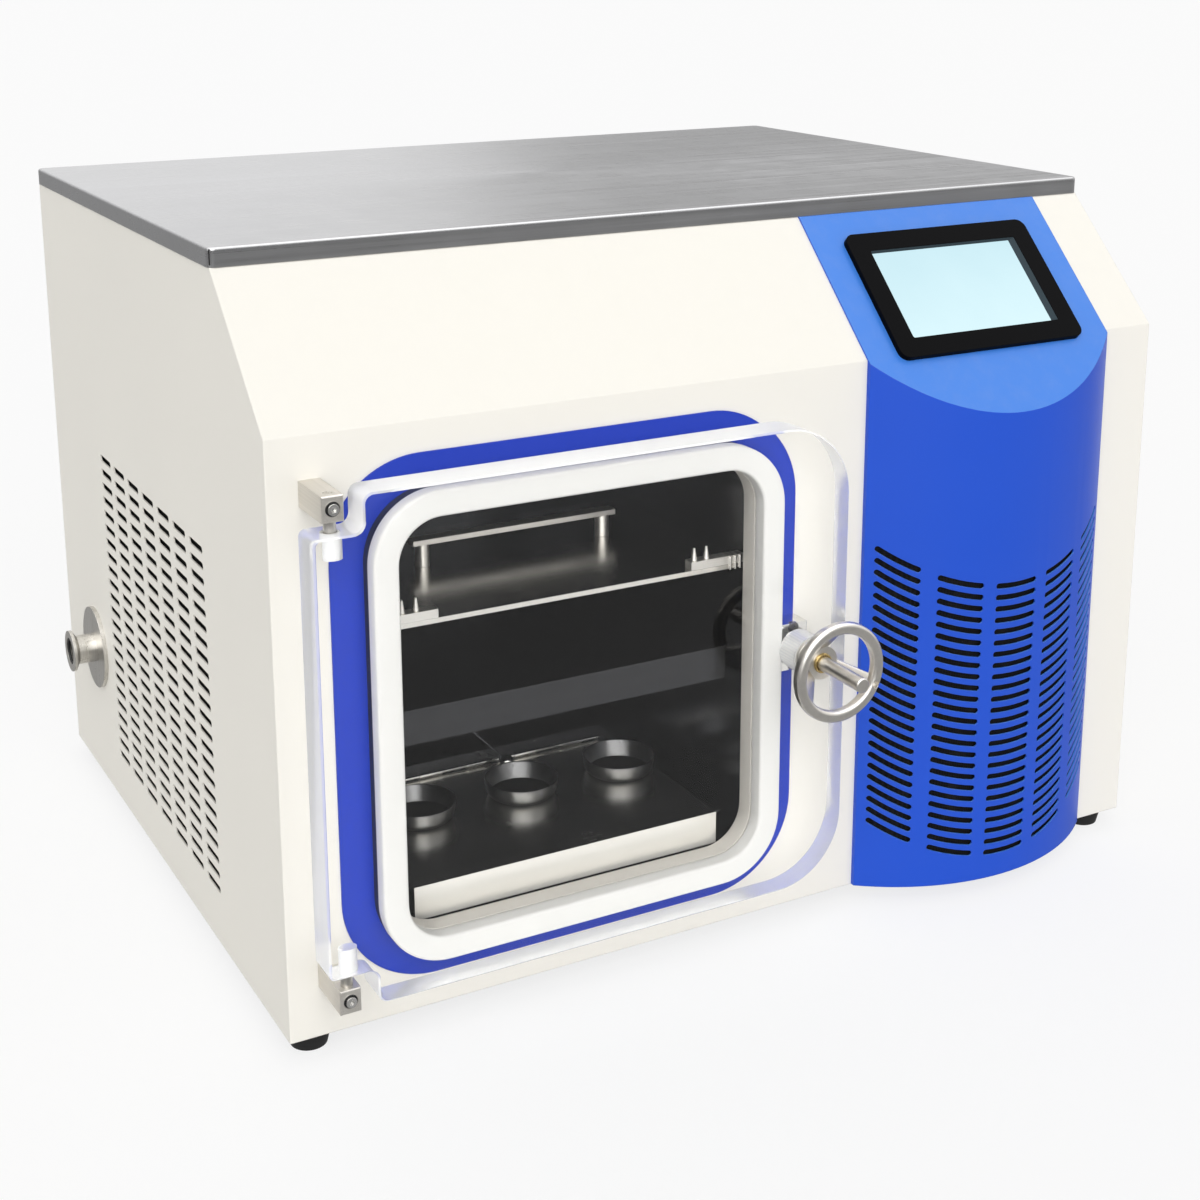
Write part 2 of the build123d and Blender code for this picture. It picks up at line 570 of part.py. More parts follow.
def screen_opening():
    """The cut for the screen's housing in the slope, through cover and panel."""
    outline = Rectangle(HOUSING_WIDTH + 2 * HOLE_FIT, HOUSING_HEIGHT + 2 * HOLE_FIT)
    depth = SHEET + COLUMN_SHEET + 2
    return extrude(slope_plane(SCREEN_CENTRE_UP, -SHEET - 1) * outline, depth)


def rear_panel():
    """The back, between the sides, with vents and the holes of inlet, switch and screws."""
    back = CABINET_DEPTH
    panel = box(SHEET, CABINET_WIDTH - SHEET, back - SHEET, back, 0, SHELL_HEIGHT)
    vent = SlotOverall(REAR_VENT_LENGTH, REAR_VENT_HEIGHT)
    rows = pattern(REAR_VENT_ROWS, REAR_VENT_ROW_PITCH)
    vents = Sketch() + [Pos(COLUMN_MIDDLE, REAR_VENT_Z + z) * vent for z in rows]
    panel -= extrude(upright(back + 1) * vents, SHEET + 2)
    panel -= box(
        INLET_X - INLET_WIDTH / 2 - HOLE_FIT, INLET_X + INLET_WIDTH / 2 + HOLE_FIT,
        back - SHEET - 1, back + 1,
        INLET_Z - INLET_HEIGHT / 2 - HOLE_FIT, INLET_Z + INLET_HEIGHT / 2 + HOLE_FIT,
    )
    panel -= box(
        SWITCH_X - SWITCH_WIDTH / 2 - HOLE_FIT, SWITCH_X + SWITCH_WIDTH / 2 + HOLE_FIT,
        back - SHEET - 1, back + 1,
        INLET_Z - SWITCH_HEIGHT / 2 - HOLE_FIT, INLET_Z + SWITCH_HEIGHT / 2 + HOLE_FIT,
    )
    for x, z in rear_screw_places():
        panel -= rod(SCREW_RADIUS + HOLE_FIT, (x, back - SHEET - 1, z), (x, back + 1, z))
    return panel


def lid():
    """Steel lid folded into a closed tray, with a flange that rests on the panels."""
    left, right = -LID_OVERHANG, CABINET_WIDTH + LID_OVERHANG
    front, back = SLOPE_RUN - LID_OVERHANG, CABINET_DEPTH + LID_OVERHANG
    bottom, top = SHELL_HEIGHT, SHELL_HEIGHT + LID_THICKNESS
    body = box(left, right, front, back, bottom, top)
    body = fillet(body.edges().filter_by(Axis.Z), LID_CORNER_RADIUS)
    body = fillet(body.faces().sort_by(Axis.Z)[-1].edges(), LID_EDGE_RADIUS)
    body -= box(left + SHEET, right - SHEET, front + SHEET, back - SHEET, bottom + SHEET, top - SHEET)
    inner = (left + LID_FLANGE, right - LID_FLANGE, front + LID_FLANGE, back - LID_FLANGE)
    return body - box(*inner, bottom - 1, bottom + SHEET + 1)


def rear_screw_places():
    """Where the thumb screws hold the rear panel: x and z."""
    sides = (REAR_SCREW_INSET, CABINET_WIDTH - REAR_SCREW_INSET)
    return [(x, z) for x in sides for z in (REAR_SCREW_LOWER_Z, SHELL_HEIGHT - REAR_SCREW_DROP)]


def rear_thumb_screws():
    """Four knurled screws with long heads."""
    back = CABINET_DEPTH
    screws = Compound([
        rod(REAR_SCREW_RADIUS, (x, back, z), (x, back + REAR_SCREW_HEAD, z))
        + rod(SCREW_RADIUS, (x, back - SHEET - REAR_SCREW_GRIP, z), (x, back, z))
        for x, z in rear_screw_places()
    ])
    return screws


# --- Control column ------------------------------------------------------------------------------
def column_outline(inset, rear):
    """The bulge seen from above, with its wall set in, from the rear coordinate forward."""
    radius = COLUMN_RADIUS - inset
    left, right = COLUMN_LEFT + inset, COLUMN_RIGHT - inset
    shoulder = COLUMN_CENTRE_Y - sqrt(radius**2 - (COLUMN_MIDDLE - left) ** 2)
    curve = ThreePointArc((left, shoulder), (COLUMN_MIDDLE, inset - COLUMN_BULGE), (right, shoulder))
    sides = Polyline((right, shoulder), (right, rear), (left, rear), (left, shoulder))
    return make_face(curve + sides)


def column_prism(inset, rear, bottom, height):
    """The bulge's outline raised from the bottom to a height."""
    return Pos(0, 0, bottom) * extrude(column_outline(inset, rear), height, dir=(0, 0, 1))


def below_slope(height):
    """Everything under the plane that lies at a height above the slope, seen from the side."""
    front = -COLUMN_BULGE - 1
    lift = FRONT_HEIGHT + height * ROOT_TWO
    outline = [(front, -1), (front, front + lift), (2, 2 + lift), (2, -1)]
    return prism(sideways(COLUMN_LEFT - 1), outline, COLUMN_WIDTH + 2)


def column_slots():
    """Cutters of the slots, curved because each row lies in a plane that leans like the slope."""
    reach = COLUMN_RADIUS * 2 * asin(COLUMN_WIDTH / 2 / COLUMN_RADIUS)
    pitch = reach / SLOT_COLUMNS
    half = (pitch - SLOT_GAP - SLOT_HEIGHT) / 2
    rise = COLUMN_RADIUS - sqrt(COLUMN_RADIUS**2 - half**2)
    top = FRONT_HEIGHT - SLOT_TOP_DROP
    row_pitch = (top - SLOT_BOTTOM_HEIGHT) / (SLOT_ROWS - 1)
    cutters = []
    for offset in pattern(SLOT_COLUMNS, pitch):
        turn = offset / COLUMN_RADIUS
        x = COLUMN_MIDDLE + COLUMN_RADIUS * sin(turn)
        y = COLUMN_CENTRE_Y - COLUMN_RADIUS * cos(turn)
        outward = Vector(sin(turn), -cos(turn), 0)
        tangent = Vector(cos(turn), sin(turn), sin(turn))
        bow = -rise * cos(turn)
        slot = SlotArc(ThreePointArc((-half, bow), (0, 0), (half, bow)), SLOT_HEIGHT)
        for row in range(SLOT_ROWS):
            start = Vector(x, y, top - row * row_pitch + y) + outward * SLOT_CUTTER_FRONT
            plane = Plane(origin=start, x_dir=tangent, z_dir=outward * -1)
            cutters.append(extrude(plane * slot, SLOT_CUTTER_DEPTH))
    return cutters


def column_cover():
    """The blue cover: slotted bulge, closed below, and the sheet over the slope."""
    height = SHELL_HEIGHT
    bulge = column_prism(0, 0, 0, height) & below_slope(COLUMN_SHEET)
    lift = COLUMN_SHEET * ROOT_TWO
    band = [
        (0, FRONT_HEIGHT), (0, FRONT_HEIGHT + lift),
        (SLOPE_RUN - lift, SHELL_HEIGHT), (SLOPE_RUN, SHELL_HEIGHT),
    ]
    cover = bulge + prism(sideways(COLUMN_LEFT), band, COLUMN_WIDTH)
    hollow = column_prism(COLUMN_SHEET, 1, COLUMN_SHEET, height)
    cover -= hollow & below_slope(0)
    cover -= screen_opening()
    return cover - column_slots()


def screen_bezel():
    """Black frame of the touch screen."""
    outline = RectangleRounded(BEZEL_WIDTH, BEZEL_HEIGHT, BEZEL_RADIUS)
    frame = extrude(slope_plane(SCREEN_CENTRE_UP, BEZEL_BASE) * outline, BEZEL_THICKNESS)
    window = RectangleRounded(GLASS_WIDTH, GLASS_HEIGHT, GLASS_RADIUS)
    return frame - extrude(slope_plane(SCREEN_CENTRE_UP, BEZEL_BASE - 1) * window, BEZEL_THICKNESS + 2)


def screen_glass():
    """The display behind the bezel's window."""
    outline = RectangleRounded(GLASS_WIDTH, GLASS_HEIGHT, GLASS_RADIUS)
    return extrude(slope_plane(SCREEN_CENTRE_UP, GLASS_FACE - GLASS_THICKNESS) * outline, GLASS_THICKNESS)


def screen_housing():
    """Electronics box of the screen, which carries bezel and glass."""
    back = BEZEL_BASE - HOUSING_DEPTH
    body = Rectangle(HOUSING_WIDTH, HOUSING_HEIGHT)
    housing = extrude(slope_plane(SCREEN_CENTRE_UP, back) * body, HOUSING_DEPTH)
    pad = Rectangle(GLASS_WIDTH - 2 * GLASS_RADIUS, GLASS_HEIGHT - 2 * GLASS_RADIUS)
    pad_height = GLASS_FACE - GLASS_THICKNESS - BEZEL_BASE
    return housing + extrude(slope_plane(SCREEN_CENTRE_UP, BEZEL_BASE) * pad, pad_height)


# --- Chamber and its cold wall -------------------------------------------------------------------
def vacuum_chamber():
    """Welded steel box with a thick neck at the front and the suction hole at the back."""
    thin = slab(CHAMBER_OUTER_WIDTH, CHAMBER_OUTER_HEIGHT, CHAMBER_OUTER_RADIUS, CHAMBER_BACK, CHAMBER_BACK)
    neck = slab(NECK_WIDTH, NECK_HEIGHT, NECK_RADIUS, NECK_BACK, NECK_BACK + NECK_LENGTH)
    inside = (CHAMBER_WIDTH, CHAMBER_HEIGHT, CHAMBER_RADIUS)
    shell = thin + neck - slab(*inside, CHAMBER_DEPTH, CHAMBER_DEPTH + NECK_LENGTH + 1)
    return shell - rod(PORT_BORE_RADIUS, (PIPE_X, CHAMBER_DEPTH - 1, PORT_Z), (PIPE_X, CHAMBER_BACK + 1, PORT_Z))


def chamber_insulation():
    """Foam jacket around the chamber and its coil."""
    inner = (CHAMBER_OUTER_WIDTH + 2 * COIL_SPACE, CHAMBER_OUTER_HEIGHT + 2 * COIL_SPACE)
    inner_radius = CHAMBER_OUTER_RADIUS + COIL_SPACE
    outer_radius = inner_radius + INSULATION_THICKNESS
    jacket = slab(INSULATION_WIDTH, INSULATION_HEIGHT, outer_radius, INSULATION_BACK, INSULATION_BACK - SHEET)
    jacket -= slab(*inner, inner_radius, CHAMBER_BACK, CHAMBER_BACK + 1)
    pipe_hole = rod(
        PORT_TUBE_RADIUS + HOLE_FIT,
        (PIPE_X, CHAMBER_BACK - 1, PORT_Z),
        (PIPE_X, INSULATION_BACK + 1, PORT_Z),
    )
    for x in coil_tails():
        z = coil_tail_height()
        jacket -= rod(LINE_RADIUS + HOLE_FIT, (x, CHAMBER_BACK - 1, z), (x, INSULATION_BACK + 1, z))
    return jacket - pipe_hole


def coil_tails():
    """Where the two ends of the coil leave through the back of the jacket: x."""
    return (CHAMBER_CENTRE_X - COIL_TAIL_SPACING / 2, CHAMBER_CENTRE_X + COIL_TAIL_SPACING / 2)


def coil_tail_height():
    """Height of the coil's ends, on top of the chamber."""
    return CHAMBER_CENTRE_Z + CHAMBER_OUTER_HEIGHT / 2 + COIL_OFFSET


def evaporator_coil():
    """Copper turns around the chamber, joined by two headers that leave at the back."""
    width = CHAMBER_OUTER_WIDTH + 2 * COIL_OFFSET
    height = CHAMBER_OUTER_HEIGHT + 2 * COIL_OFFSET
    radius = CHAMBER_OUTER_RADIUS + COIL_OFFSET
    path = RectangleRounded(width, height, radius).wire()
    section = Plane(origin=path @ 0, z_dir=path % 0) * Circle(COIL_TUBE_RADIUS)
    turn = sweep(section, path=path)
    z = coil_tail_height()
    coil = Part() + [rod(HEADER_RADIUS, (x, COIL_START, z), (x, INSULATION_BACK, z)) for x in coil_tails()]
    for index in range(COIL_TURNS):
        coil += upright(COIL_START + index * COIL_PITCH) * Pos(CHAMBER_CENTRE_X, CHAMBER_CENTRE_Z) * turn
    return coil


def door_surround():
    """Blue plate around the chamber's neck."""
    width, height = NECK_WIDTH + 2 * SURROUND_SIDE, NECK_HEIGHT + 2 * SURROUND_ABOVE
    plate = slab(width, height, SURROUND_RADIUS, 0, SURROUND_THICKNESS)
    hole = (NECK_WIDTH + 2 * HOLE_FIT, NECK_HEIGHT + 2 * HOLE_FIT, NECK_RADIUS + HOLE_FIT)
    plate -= slab(*hole, 1, SURROUND_THICKNESS + 2)
    screw_hole = SCREW_RADIUS + SEAT_FIT
    for x, z in keeper_screw_places():
        plate -= rod(screw_hole, (x, -SURROUND_THICKNESS - 1, z), (x, 1, z))
    return plate


def door_gasket():
    """White seal between neck and door."""
    width, height = CHAMBER_WIDTH - 2 * GASKET_SIDE_LAP, CHAMBER_HEIGHT - 2 * GASKET_TOP_LAP
    outer = (width + 2 * GASKET_FACE, height + 2 * GASKET_FACE, GASKET_INNER_RADIUS + GASKET_FACE)
    ring = slab(*outer, -NECK_LENGTH, GASKET_DEPTH)
    ring -= slab(width, height, GASKET_INNER_RADIUS, 1 - NECK_LENGTH, GASKET_DEPTH + 2)
    return fillet(ring.faces().sort_by(Axis.Y)[0].edges(), GASKET_EDGE_RADIUS)


# --- Door and hinges -----------------------------------------------------------------------------
def door_plate():
    """Thick clear plate, notched at the hinge corners and bored for bushes and clamp."""
    width, height = DOOR_RIGHT - DOOR_LEFT, DOOR_TOP - DOOR_BOTTOM
    notch_x = DOOR_LEFT + NOTCH_WIDTH
    sheet = Pos(DOOR_LEFT + width / 2, DOOR_BOTTOM + height / 2) * Rectangle(width, height)
    sheet -= Pos(DOOR_LEFT, UPPER_NOTCH_Z) * Rectangle(NOTCH_WIDTH, 2 * height, align=(Align.MIN, Align.MIN))
    sheet -= Pos(DOOR_LEFT, LOWER_NOTCH_Z) * Rectangle(NOTCH_WIDTH, 2 * height, align=(Align.MIN, Align.MAX))
    corners = sheet.vertices()
    right = corners.filter_by(lambda v: v.X > DOOR_RIGHT - 1)
    sheet = fillet(right, DOOR_CORNER_RADIUS)
    inner = sheet.vertices().filter_by(lambda v: abs(v.X - notch_x) < 0.1)
    sheet = fillet(inner, NOTCH_RADIUS)
    outer = sheet.vertices().filter_by(lambda v: v.X < DOOR_LEFT + 0.1)
    sheet = fillet(outer, NOTCH_OUTER_RADIUS)
    plate = extrude(upright(DOOR_BACK) * sheet, DOOR_THICKNESS)
    plate = chamfer(plate.faces().sort_by(Axis.Y)[0].edges(), DOOR_EDGE_CHAMFER)
    for seat, direction in ((UPPER_NOTCH_Z, -1), (LOWER_NOTCH_Z, 1)):
        start = (HINGE_X, -HINGE_STANDOFF, seat - direction)
        end = (HINGE_X, -HINGE_STANDOFF, seat + direction * DOOR_BUSH_LENGTH)
        plate -= rod(DOOR_BUSH_RADIUS + SEAT_FIT, start, end)
    return plate - rod(
        CLAMP_BUSH_RADIUS + SEAT_FIT,
        (CLAMP_X, DOOR_FRONT - 1, CLAMP_Z),
        (CLAMP_X, DOOR_BACK + 1, CLAMP_Z),
    )


def hinge_ends():
    """For each hinge: the door's notch, the middle of its block, and the way into the door."""
    return ((UPPER_NOTCH_Z, UPPER_BLOCK_Z, -1), (LOWER_NOTCH_Z, LOWER_BLOCK_Z, 1))


def door_bushes():
    """Two plastic bushes in the door, closed at the end where the pin bears."""
    bushes = []
    for seat, _, direction in hinge_ends():
        axis = (HINGE_X, -HINGE_STANDOFF)
        end = seat + direction * DOOR_BUSH_LENGTH
        body = rod(DOOR_BUSH_RADIUS, (*axis, seat), (*axis, end))
        floor = end - direction * DOOR_BUSH_CAP
        bushes.append(body - rod(HINGE_PIN_RADIUS + RUNNING_FIT, (*axis, seat - direction), (*axis, floor)))
    return Compound(bushes)


def hinge_pins():
    """Two pins, each cross-drilled for the screw of its block."""
    pins = []
    for seat, middle, direction in hinge_ends():
        axis = (HINGE_X, -HINGE_STANDOFF)
        start = middle - direction * HINGE_BLOCK_HEIGHT / 2
        end = seat + direction * (DOOR_BUSH_LENGTH - DOOR_BUSH_CAP - RUNNING_FIT)
        pin = rod(HINGE_PIN_RADIUS, (*axis, start), (*axis, end))
        hole = SCREW_RADIUS + SEAT_FIT
        pins.append(pin - rod(hole, (HINGE_X, -HINGE_BLOCK_DEPTH, middle), (HINGE_X, 0, middle)))
    return Compound(pins)


def hinge_block(middle):
    """Steel block on the front panel, bored for its pin and for the screw that holds both."""
    block = box(
        HINGE_X - HINGE_BLOCK_WIDTH / 2, HINGE_X + HINGE_BLOCK_WIDTH / 2,
        -HINGE_BLOCK_DEPTH, 0,
        middle - HINGE_BLOCK_HEIGHT / 2, middle + HINGE_BLOCK_HEIGHT / 2,
    )
    block = chamfer(block.faces().sort_by(Axis.Y)[0].edges(), TURNED_CHAMFER)
    reach = HINGE_BLOCK_HEIGHT / 2 + 1
    axis = (HINGE_X, -HINGE_STANDOFF)
    block -= rod(HINGE_PIN_RADIUS + SEAT_FIT, (*axis, middle - reach), (*axis, middle + reach))
    block -= rod(SCREW_RADIUS + SEAT_FIT, (HINGE_X, -HINGE_BLOCK_DEPTH - 1, middle), (HINGE_X, 1, middle))
    return block - rod(HINGE_RECESS_RADIUS, (HINGE_X, -HINGE_BLOCK_DEPTH - 1, middle), (HINGE_X, HINGE_SEAT, middle))


def screw_places():
    """Where screws enter the front panel: x and z, for hinges and keeper."""
    hinges = [(HINGE_X, UPPER_BLOCK_Z), (HINGE_X, LOWER_BLOCK_Z)]
    return hinges + keeper_screw_places()


def keeper_screw_places():
    """Where the keeper's screws sit: in its two legs."""
    reach = (KEEPER_HEIGHT - KEEPER_LEG) / 2
    return [(CLAMP_X, CLAMP_Z - reach), (CLAMP_X, CLAMP_Z + reach)]


def cap_screw(x, z, front, end):
    """A socket-head screw whose head rests on a face at depth front, and whose tip is at depth end."""
    head_top = front - SCREW_HEAD_HEIGHT
    screw = rod(SCREW_HEAD_RADIUS, (x, head_top, z), (x, front, z))
    screw += rod(SCREW_RADIUS, (x, front, z), (x, end, z))
    socket = upright(head_top + SCREW_SOCKET_DEPTH) * Pos(x, z) * RegularPolygon(SCREW_SOCKET_RADIUS, 6)
    return screw - extrude(socket, SCREW_SOCKET_DEPTH + 1)


def hinge_screws():
    """The two long screws of the hinge blocks."""
    places = ((HINGE_X, UPPER_BLOCK_Z), (HINGE_X, LOWER_BLOCK_Z))
    return Compound([cap_screw(x, z, HINGE_SEAT, SCREW_END).solid() for x, z in places])


# --- Door clamp ----------------------------------------------------------------------------------
def clamp_keeper():
    """Bridge on the front panel with an upright slot for the bolt's tongue."""
    back = -SURROUND_THICKNESS
    body = box(
        CLAMP_X - KEEPER_WIDTH / 2, CLAMP_X + KEEPER_WIDTH / 2,
        KEEPER_FRONT, back,
        CLAMP_Z - KEEPER_HEIGHT / 2, CLAMP_Z + KEEPER_HEIGHT / 2,
    )
    body -= box(
        CLAMP_X - KEEPER_WIDTH / 2 - 1, CLAMP_X + KEEPER_WIDTH / 2 + 1,
        KEEPER_BACK, back + 1,
        CLAMP_Z - SLOT_OPENING_HEIGHT / 2, CLAMP_Z + SLOT_OPENING_HEIGHT / 2,
    )
    slot = Pos(CLAMP_X, CLAMP_Z) * Rectangle(SLOT_OPENING_WIDTH, SLOT_OPENING_HEIGHT)
    body -= extrude(upright(KEEPER_BACK + 1) * slot, KEEPER_FACE + 2)
    for x, z in keeper_screw_places():
        body -= rod(SCREW_RADIUS + SEAT_FIT, (x, KEEPER_FRONT - 1, z), (x, 0, z))
        body -= rod(SCREW_HEAD_RADIUS + HOLE_FIT, (x, KEEPER_FRONT - 1, z), (x, keeper_screw_seat(), z))
    return body


def keeper_screw_seat():
    """Depth of the counterbore's floor, so that the screw heads lie flush."""
    return KEEPER_FRONT + SCREW_HEAD_HEIGHT


def keeper_screws():
    """The two screws of the keeper."""
    return Compound([cap_screw(x, z, keeper_screw_seat(), SHEET).solid() for x, z in keeper_screw_places()])


def clamp_bolt():
    """Bolt through the door with a flat tongue at the back and a collar behind the bush."""
    bolt = rod(CLAMP_BOLT_RADIUS, (CLAMP_X, -CLAMP_BOLT_REACH, CLAMP_Z), (CLAMP_X, TONGUE_FRONT, CLAMP_Z))
    bolt = chamfer(bolt.edges().group_by(Axis.Y)[0], TURNED_CHAMFER)
    tongue = box(
        CLAMP_X - CLAMP_BOLT_RADIUS, CLAMP_X + CLAMP_BOLT_RADIUS,
        TONGUE_FRONT, TONGUE_FRONT + TONGUE_THICKNESS,
        CLAMP_Z - TONGUE_LENGTH / 2, CLAMP_Z + TONGUE_LENGTH / 2,
    )
    tongue_back = TONGUE_FRONT + TONGUE_THICKNESS
    tongue &= rod(TONGUE_LENGTH / 2, (CLAMP_X, TONGUE_FRONT, CLAMP_Z), (CLAMP_X, tongue_back, CLAMP_Z))
    collar_front = DOOR_BACK + TOUCH_GAP
    collar_back = collar_front + COLLAR_THICKNESS
    collar = rod(COLLAR_RADIUS, (CLAMP_X, collar_front, CLAMP_Z), (CLAMP_X, collar_back, CLAMP_Z))
    return bolt + tongue + collar


def clamp_bush():
    """Plastic bush in the door that guides the bolt."""
    bush = rod(CLAMP_BUSH_RADIUS, (CLAMP_X, DOOR_FRONT, CLAMP_Z), (CLAMP_X, DOOR_BACK, CLAMP_Z))
    bore = CLAMP_BOLT_RADIUS + RUNNING_FIT
    return bush - rod(bore, (CLAMP_X, DOOR_FRONT - 1, CLAMP_Z), (CLAMP_X, DOOR_BACK + 1, CLAMP_Z))


def clamp_washer():
    """Steel washer between door and handwheel."""
    ring = rod(WASHER_RADIUS, (CLAMP_X, WASHER_FRONT, CLAMP_Z), (CLAMP_X, DOOR_FRONT, CLAMP_Z))
    bore = CLAMP_BOLT_RADIUS + RUNNING_FIT
    return ring - rod(bore, (CLAMP_X, WASHER_FRONT - 1, CLAMP_Z), (CLAMP_X, DOOR_FRONT + 1, CLAMP_Z))


def spoke(angle):
    """One arm of the handwheel, dished forward from hub to rim."""
    inner, outer = HUB_RADIUS - SPOKE_ROOT, RIM_RADIUS
    back = HUB_BACK - SPOKE_SETBACK
    outline = Polygon(
        (inner, back), (inner, back - SPOKE_ROOT_THICKNESS),
        (outer, RIM_MIDDLE - SPOKE_THICKNESS / 2), (outer, RIM_MIDDLE + SPOKE_THICKNESS / 2),
        align=None,
    )
    arm = extrude(outline, SPOKE_WIDTH / 2, both=True)
    return Pos(CLAMP_X, 0, CLAMP_Z) * Rot(0, -angle, 0) * arm


def clamp_handwheel():
    """Turned wheel with three dished spokes and a threaded hole for a crank knob in its rim."""
    section = Pos(RIM_RADIUS, RIM_MIDDLE) * RectangleRounded(RIM_WIDTH, RIM_DEPTH, RIM_EDGE_RADIUS)
    wheel = Pos(CLAMP_X, 0, CLAMP_Z) * revolve(section, Axis.Y)
    wheel += rod(HUB_RADIUS, (CLAMP_X, HUB_FRONT, CLAMP_Z), (CLAMP_X, HUB_BACK, CLAMP_Z))
    for angle in SPOKE_ANGLES:
        wheel += spoke(angle)
    knob = radians(SPOKE_ANGLES[-1])
    knob_x, knob_z = CLAMP_X + RIM_RADIUS * cos(knob), CLAMP_Z + RIM_RADIUS * sin(knob)
    wheel -= rod(KNOB_HOLE_RADIUS, (knob_x, RIM_MIDDLE - RIM_DEPTH, knob_z), (knob_x, RIM_MIDDLE, knob_z))
    bore = CLAMP_BOLT_RADIUS + RUNNING_FIT
    return wheel - rod(bore, (CLAMP_X, -CLAMP_BOLT_REACH, CLAMP_Z), (CLAMP_X, HUB_BACK + 1, CLAMP_Z))


# --- Inside the chamber --------------------------------------------------------------------------
def upper_shelf():
    """Flat shelf across the whole chamber."""
    half = UPPER_SHELF_WIDTH / 2
    return box(
        CHAMBER_CENTRE_X - half, CHAMBER_CENTRE_X + half,
        SHELF_FRONT, SHELF_BACK,
        UPPER_SHELF_TOP - UPPER_SHELF_THICKNESS, UPPER_SHELF_TOP,
    )


def tray_shelf(top, width):
    """A shelf folded from sheet, with a deep lip in front and a low one behind."""
    left, right = CHAMBER_CENTRE_X - width / 2, CHAMBER_CENTRE_X + width / 2
    shelf = box(left, right, SHELF_FRONT, SHELF_BACK, top - TRAY_SHELF_SHEET, top)
    shelf += box(left, right, SHELF_FRONT, SHELF_FRONT + TRAY_SHELF_SHEET, top - TRAY_LIP, top)
    return shelf + box(left, right, SHELF_BACK - TRAY_SHELF_SHEET, SHELF_BACK, top - TRAY_BACK_LIP, top)


def middle_shelf():
    """The upper of the two folded shelves."""
    return tray_shelf(MIDDLE_SHELF_TOP, MIDDLE_SHELF_WIDTH)


def lower_shelf():
    """The lower of the two folded shelves."""
    return tray_shelf(LOWER_SHELF_TOP, LOWER_SHELF_WIDTH)


def shelf_supports():
    """Ledges on the chamber's side walls, one pair under each shelf."""
    front = SHELF_FRONT + TRAY_SHELF_SHEET + SUPPORT_END_GAP
    back = SHELF_BACK - TRAY_SHELF_SHEET - SUPPORT_END_GAP
    levels = (
        (UPPER_SHELF_TOP - UPPER_SHELF_THICKNESS, SUPPORT_WIDTH),
        (MIDDLE_SHELF_TOP - TRAY_SHELF_SHEET, MIDDLE_SHELF_SIDE_GAP + SUPPORT_WIDTH),
        (LOWER_SHELF_TOP - TRAY_SHELF_SHEET, LOWER_SHELF_SIDE_GAP + SUPPORT_WIDTH),
    )
    left, right = CHAMBER_LEFT, CHAMBER_RIGHT
    room = slab(CHAMBER_WIDTH, CHAMBER_HEIGHT, CHAMBER_RADIUS, CHAMBER_DEPTH, CHAMBER_DEPTH)
    ledges = []
    for top, reach in levels:
        ledges.append(box(left, left + reach, front, back, top - SUPPORT_THICKNESS, top) & room)
        ledges.append(box(right - reach, right, front, back, top - SUPPORT_THICKNESS, top) & room)
    return Compound([ledge.solid() for ledge in ledges])


def lift_bar():
    """Flat bar on two posts, to lift the upper shelf by."""
    top = UPPER_SHELF_TOP + LIFT_BAR_HEIGHT
    middle = CHAMBER_CENTRE_X + LIFT_BAR_OFFSET
    left, right = middle - LIFT_BAR_LENGTH / 2, middle + LIFT_BAR_LENGTH / 2
    front, back = LIFT_BAR_Y - LIFT_BAR_DEPTH / 2, LIFT_BAR_Y + LIFT_BAR_DEPTH / 2
    bar = box(left, right, front, back, top - LIFT_BAR_THICKNESS, top)
    for x in (left + LIFT_POST_INSET, right - LIFT_POST_INSET):
        start, end = (x, LIFT_BAR_Y, UPPER_SHELF_TOP), (x, LIFT_BAR_Y, top - LIFT_BAR_THICKNESS)
        bar += rod(LIFT_POST_RADIUS, start, end)
    return bar


def shelf_clips():
    """A strip with two pointed studs at each end of the upper shelf's front edge."""
    left, right = CHAMBER_CENTRE_X - UPPER_SHELF_WIDTH / 2, CHAMBER_CENTRE_X + UPPER_SHELF_WIDTH / 2
    clips = []
    for x0, shift in ((left, LEFT_STUD_OFFSET), (right - CLIP_LENGTH, RIGHT_STUD_OFFSET)):
        x1 = x0 + CLIP_LENGTH
        top = UPPER_SHELF_TOP + CLIP_HEIGHT
        clip = box(x0, x1, SHELF_FRONT, SHELF_FRONT + CLIP_DEPTH, UPPER_SHELF_TOP, top)
        for offset in pattern(2, CLIP_STUD_PITCH):
            stud = Cone(CLIP_STUD_RADIUS, CLIP_STUD_TIP_RADIUS, CLIP_STUD_HEIGHT)
            x = (x0 + x1) / 2 + shift + offset
            clip += Pos(x, SHELF_FRONT + CLIP_DEPTH / 2, top + CLIP_STUD_HEIGHT / 2) * stud
        clips.append(clip)
    return Compound(clips)


def sample_dish(index):
    """A shallow dish with a rounded foot, standing on the lower shelf."""
    x = CHAMBER_CENTRE_X + DISH_ROW_OFFSET + (index - 1) * DISH_PITCH
    dish = Cylinder(DISH_RADIUS, DISH_HEIGHT, align=(Align.CENTER, Align.CENTER, Align.MIN))
    dish = fillet(dish.edges().group_by(Axis.Z)[0], DISH_BASE_RADIUS)
    bowl_radius = DISH_RADIUS - DISH_WALL
    bowl = Cylinder(bowl_radius, DISH_HEIGHT, align=(Align.CENTER, Align.CENTER, Align.MIN))
    bowl = fillet(bowl.edges().group_by(Axis.Z)[0], DISH_BASE_RADIUS - DISH_WALL)
    return Pos(x, DISH_ROW_Y, LOWER_SHELF_TOP) * (dish - Pos(0, 0, DISH_WALL) * bowl)


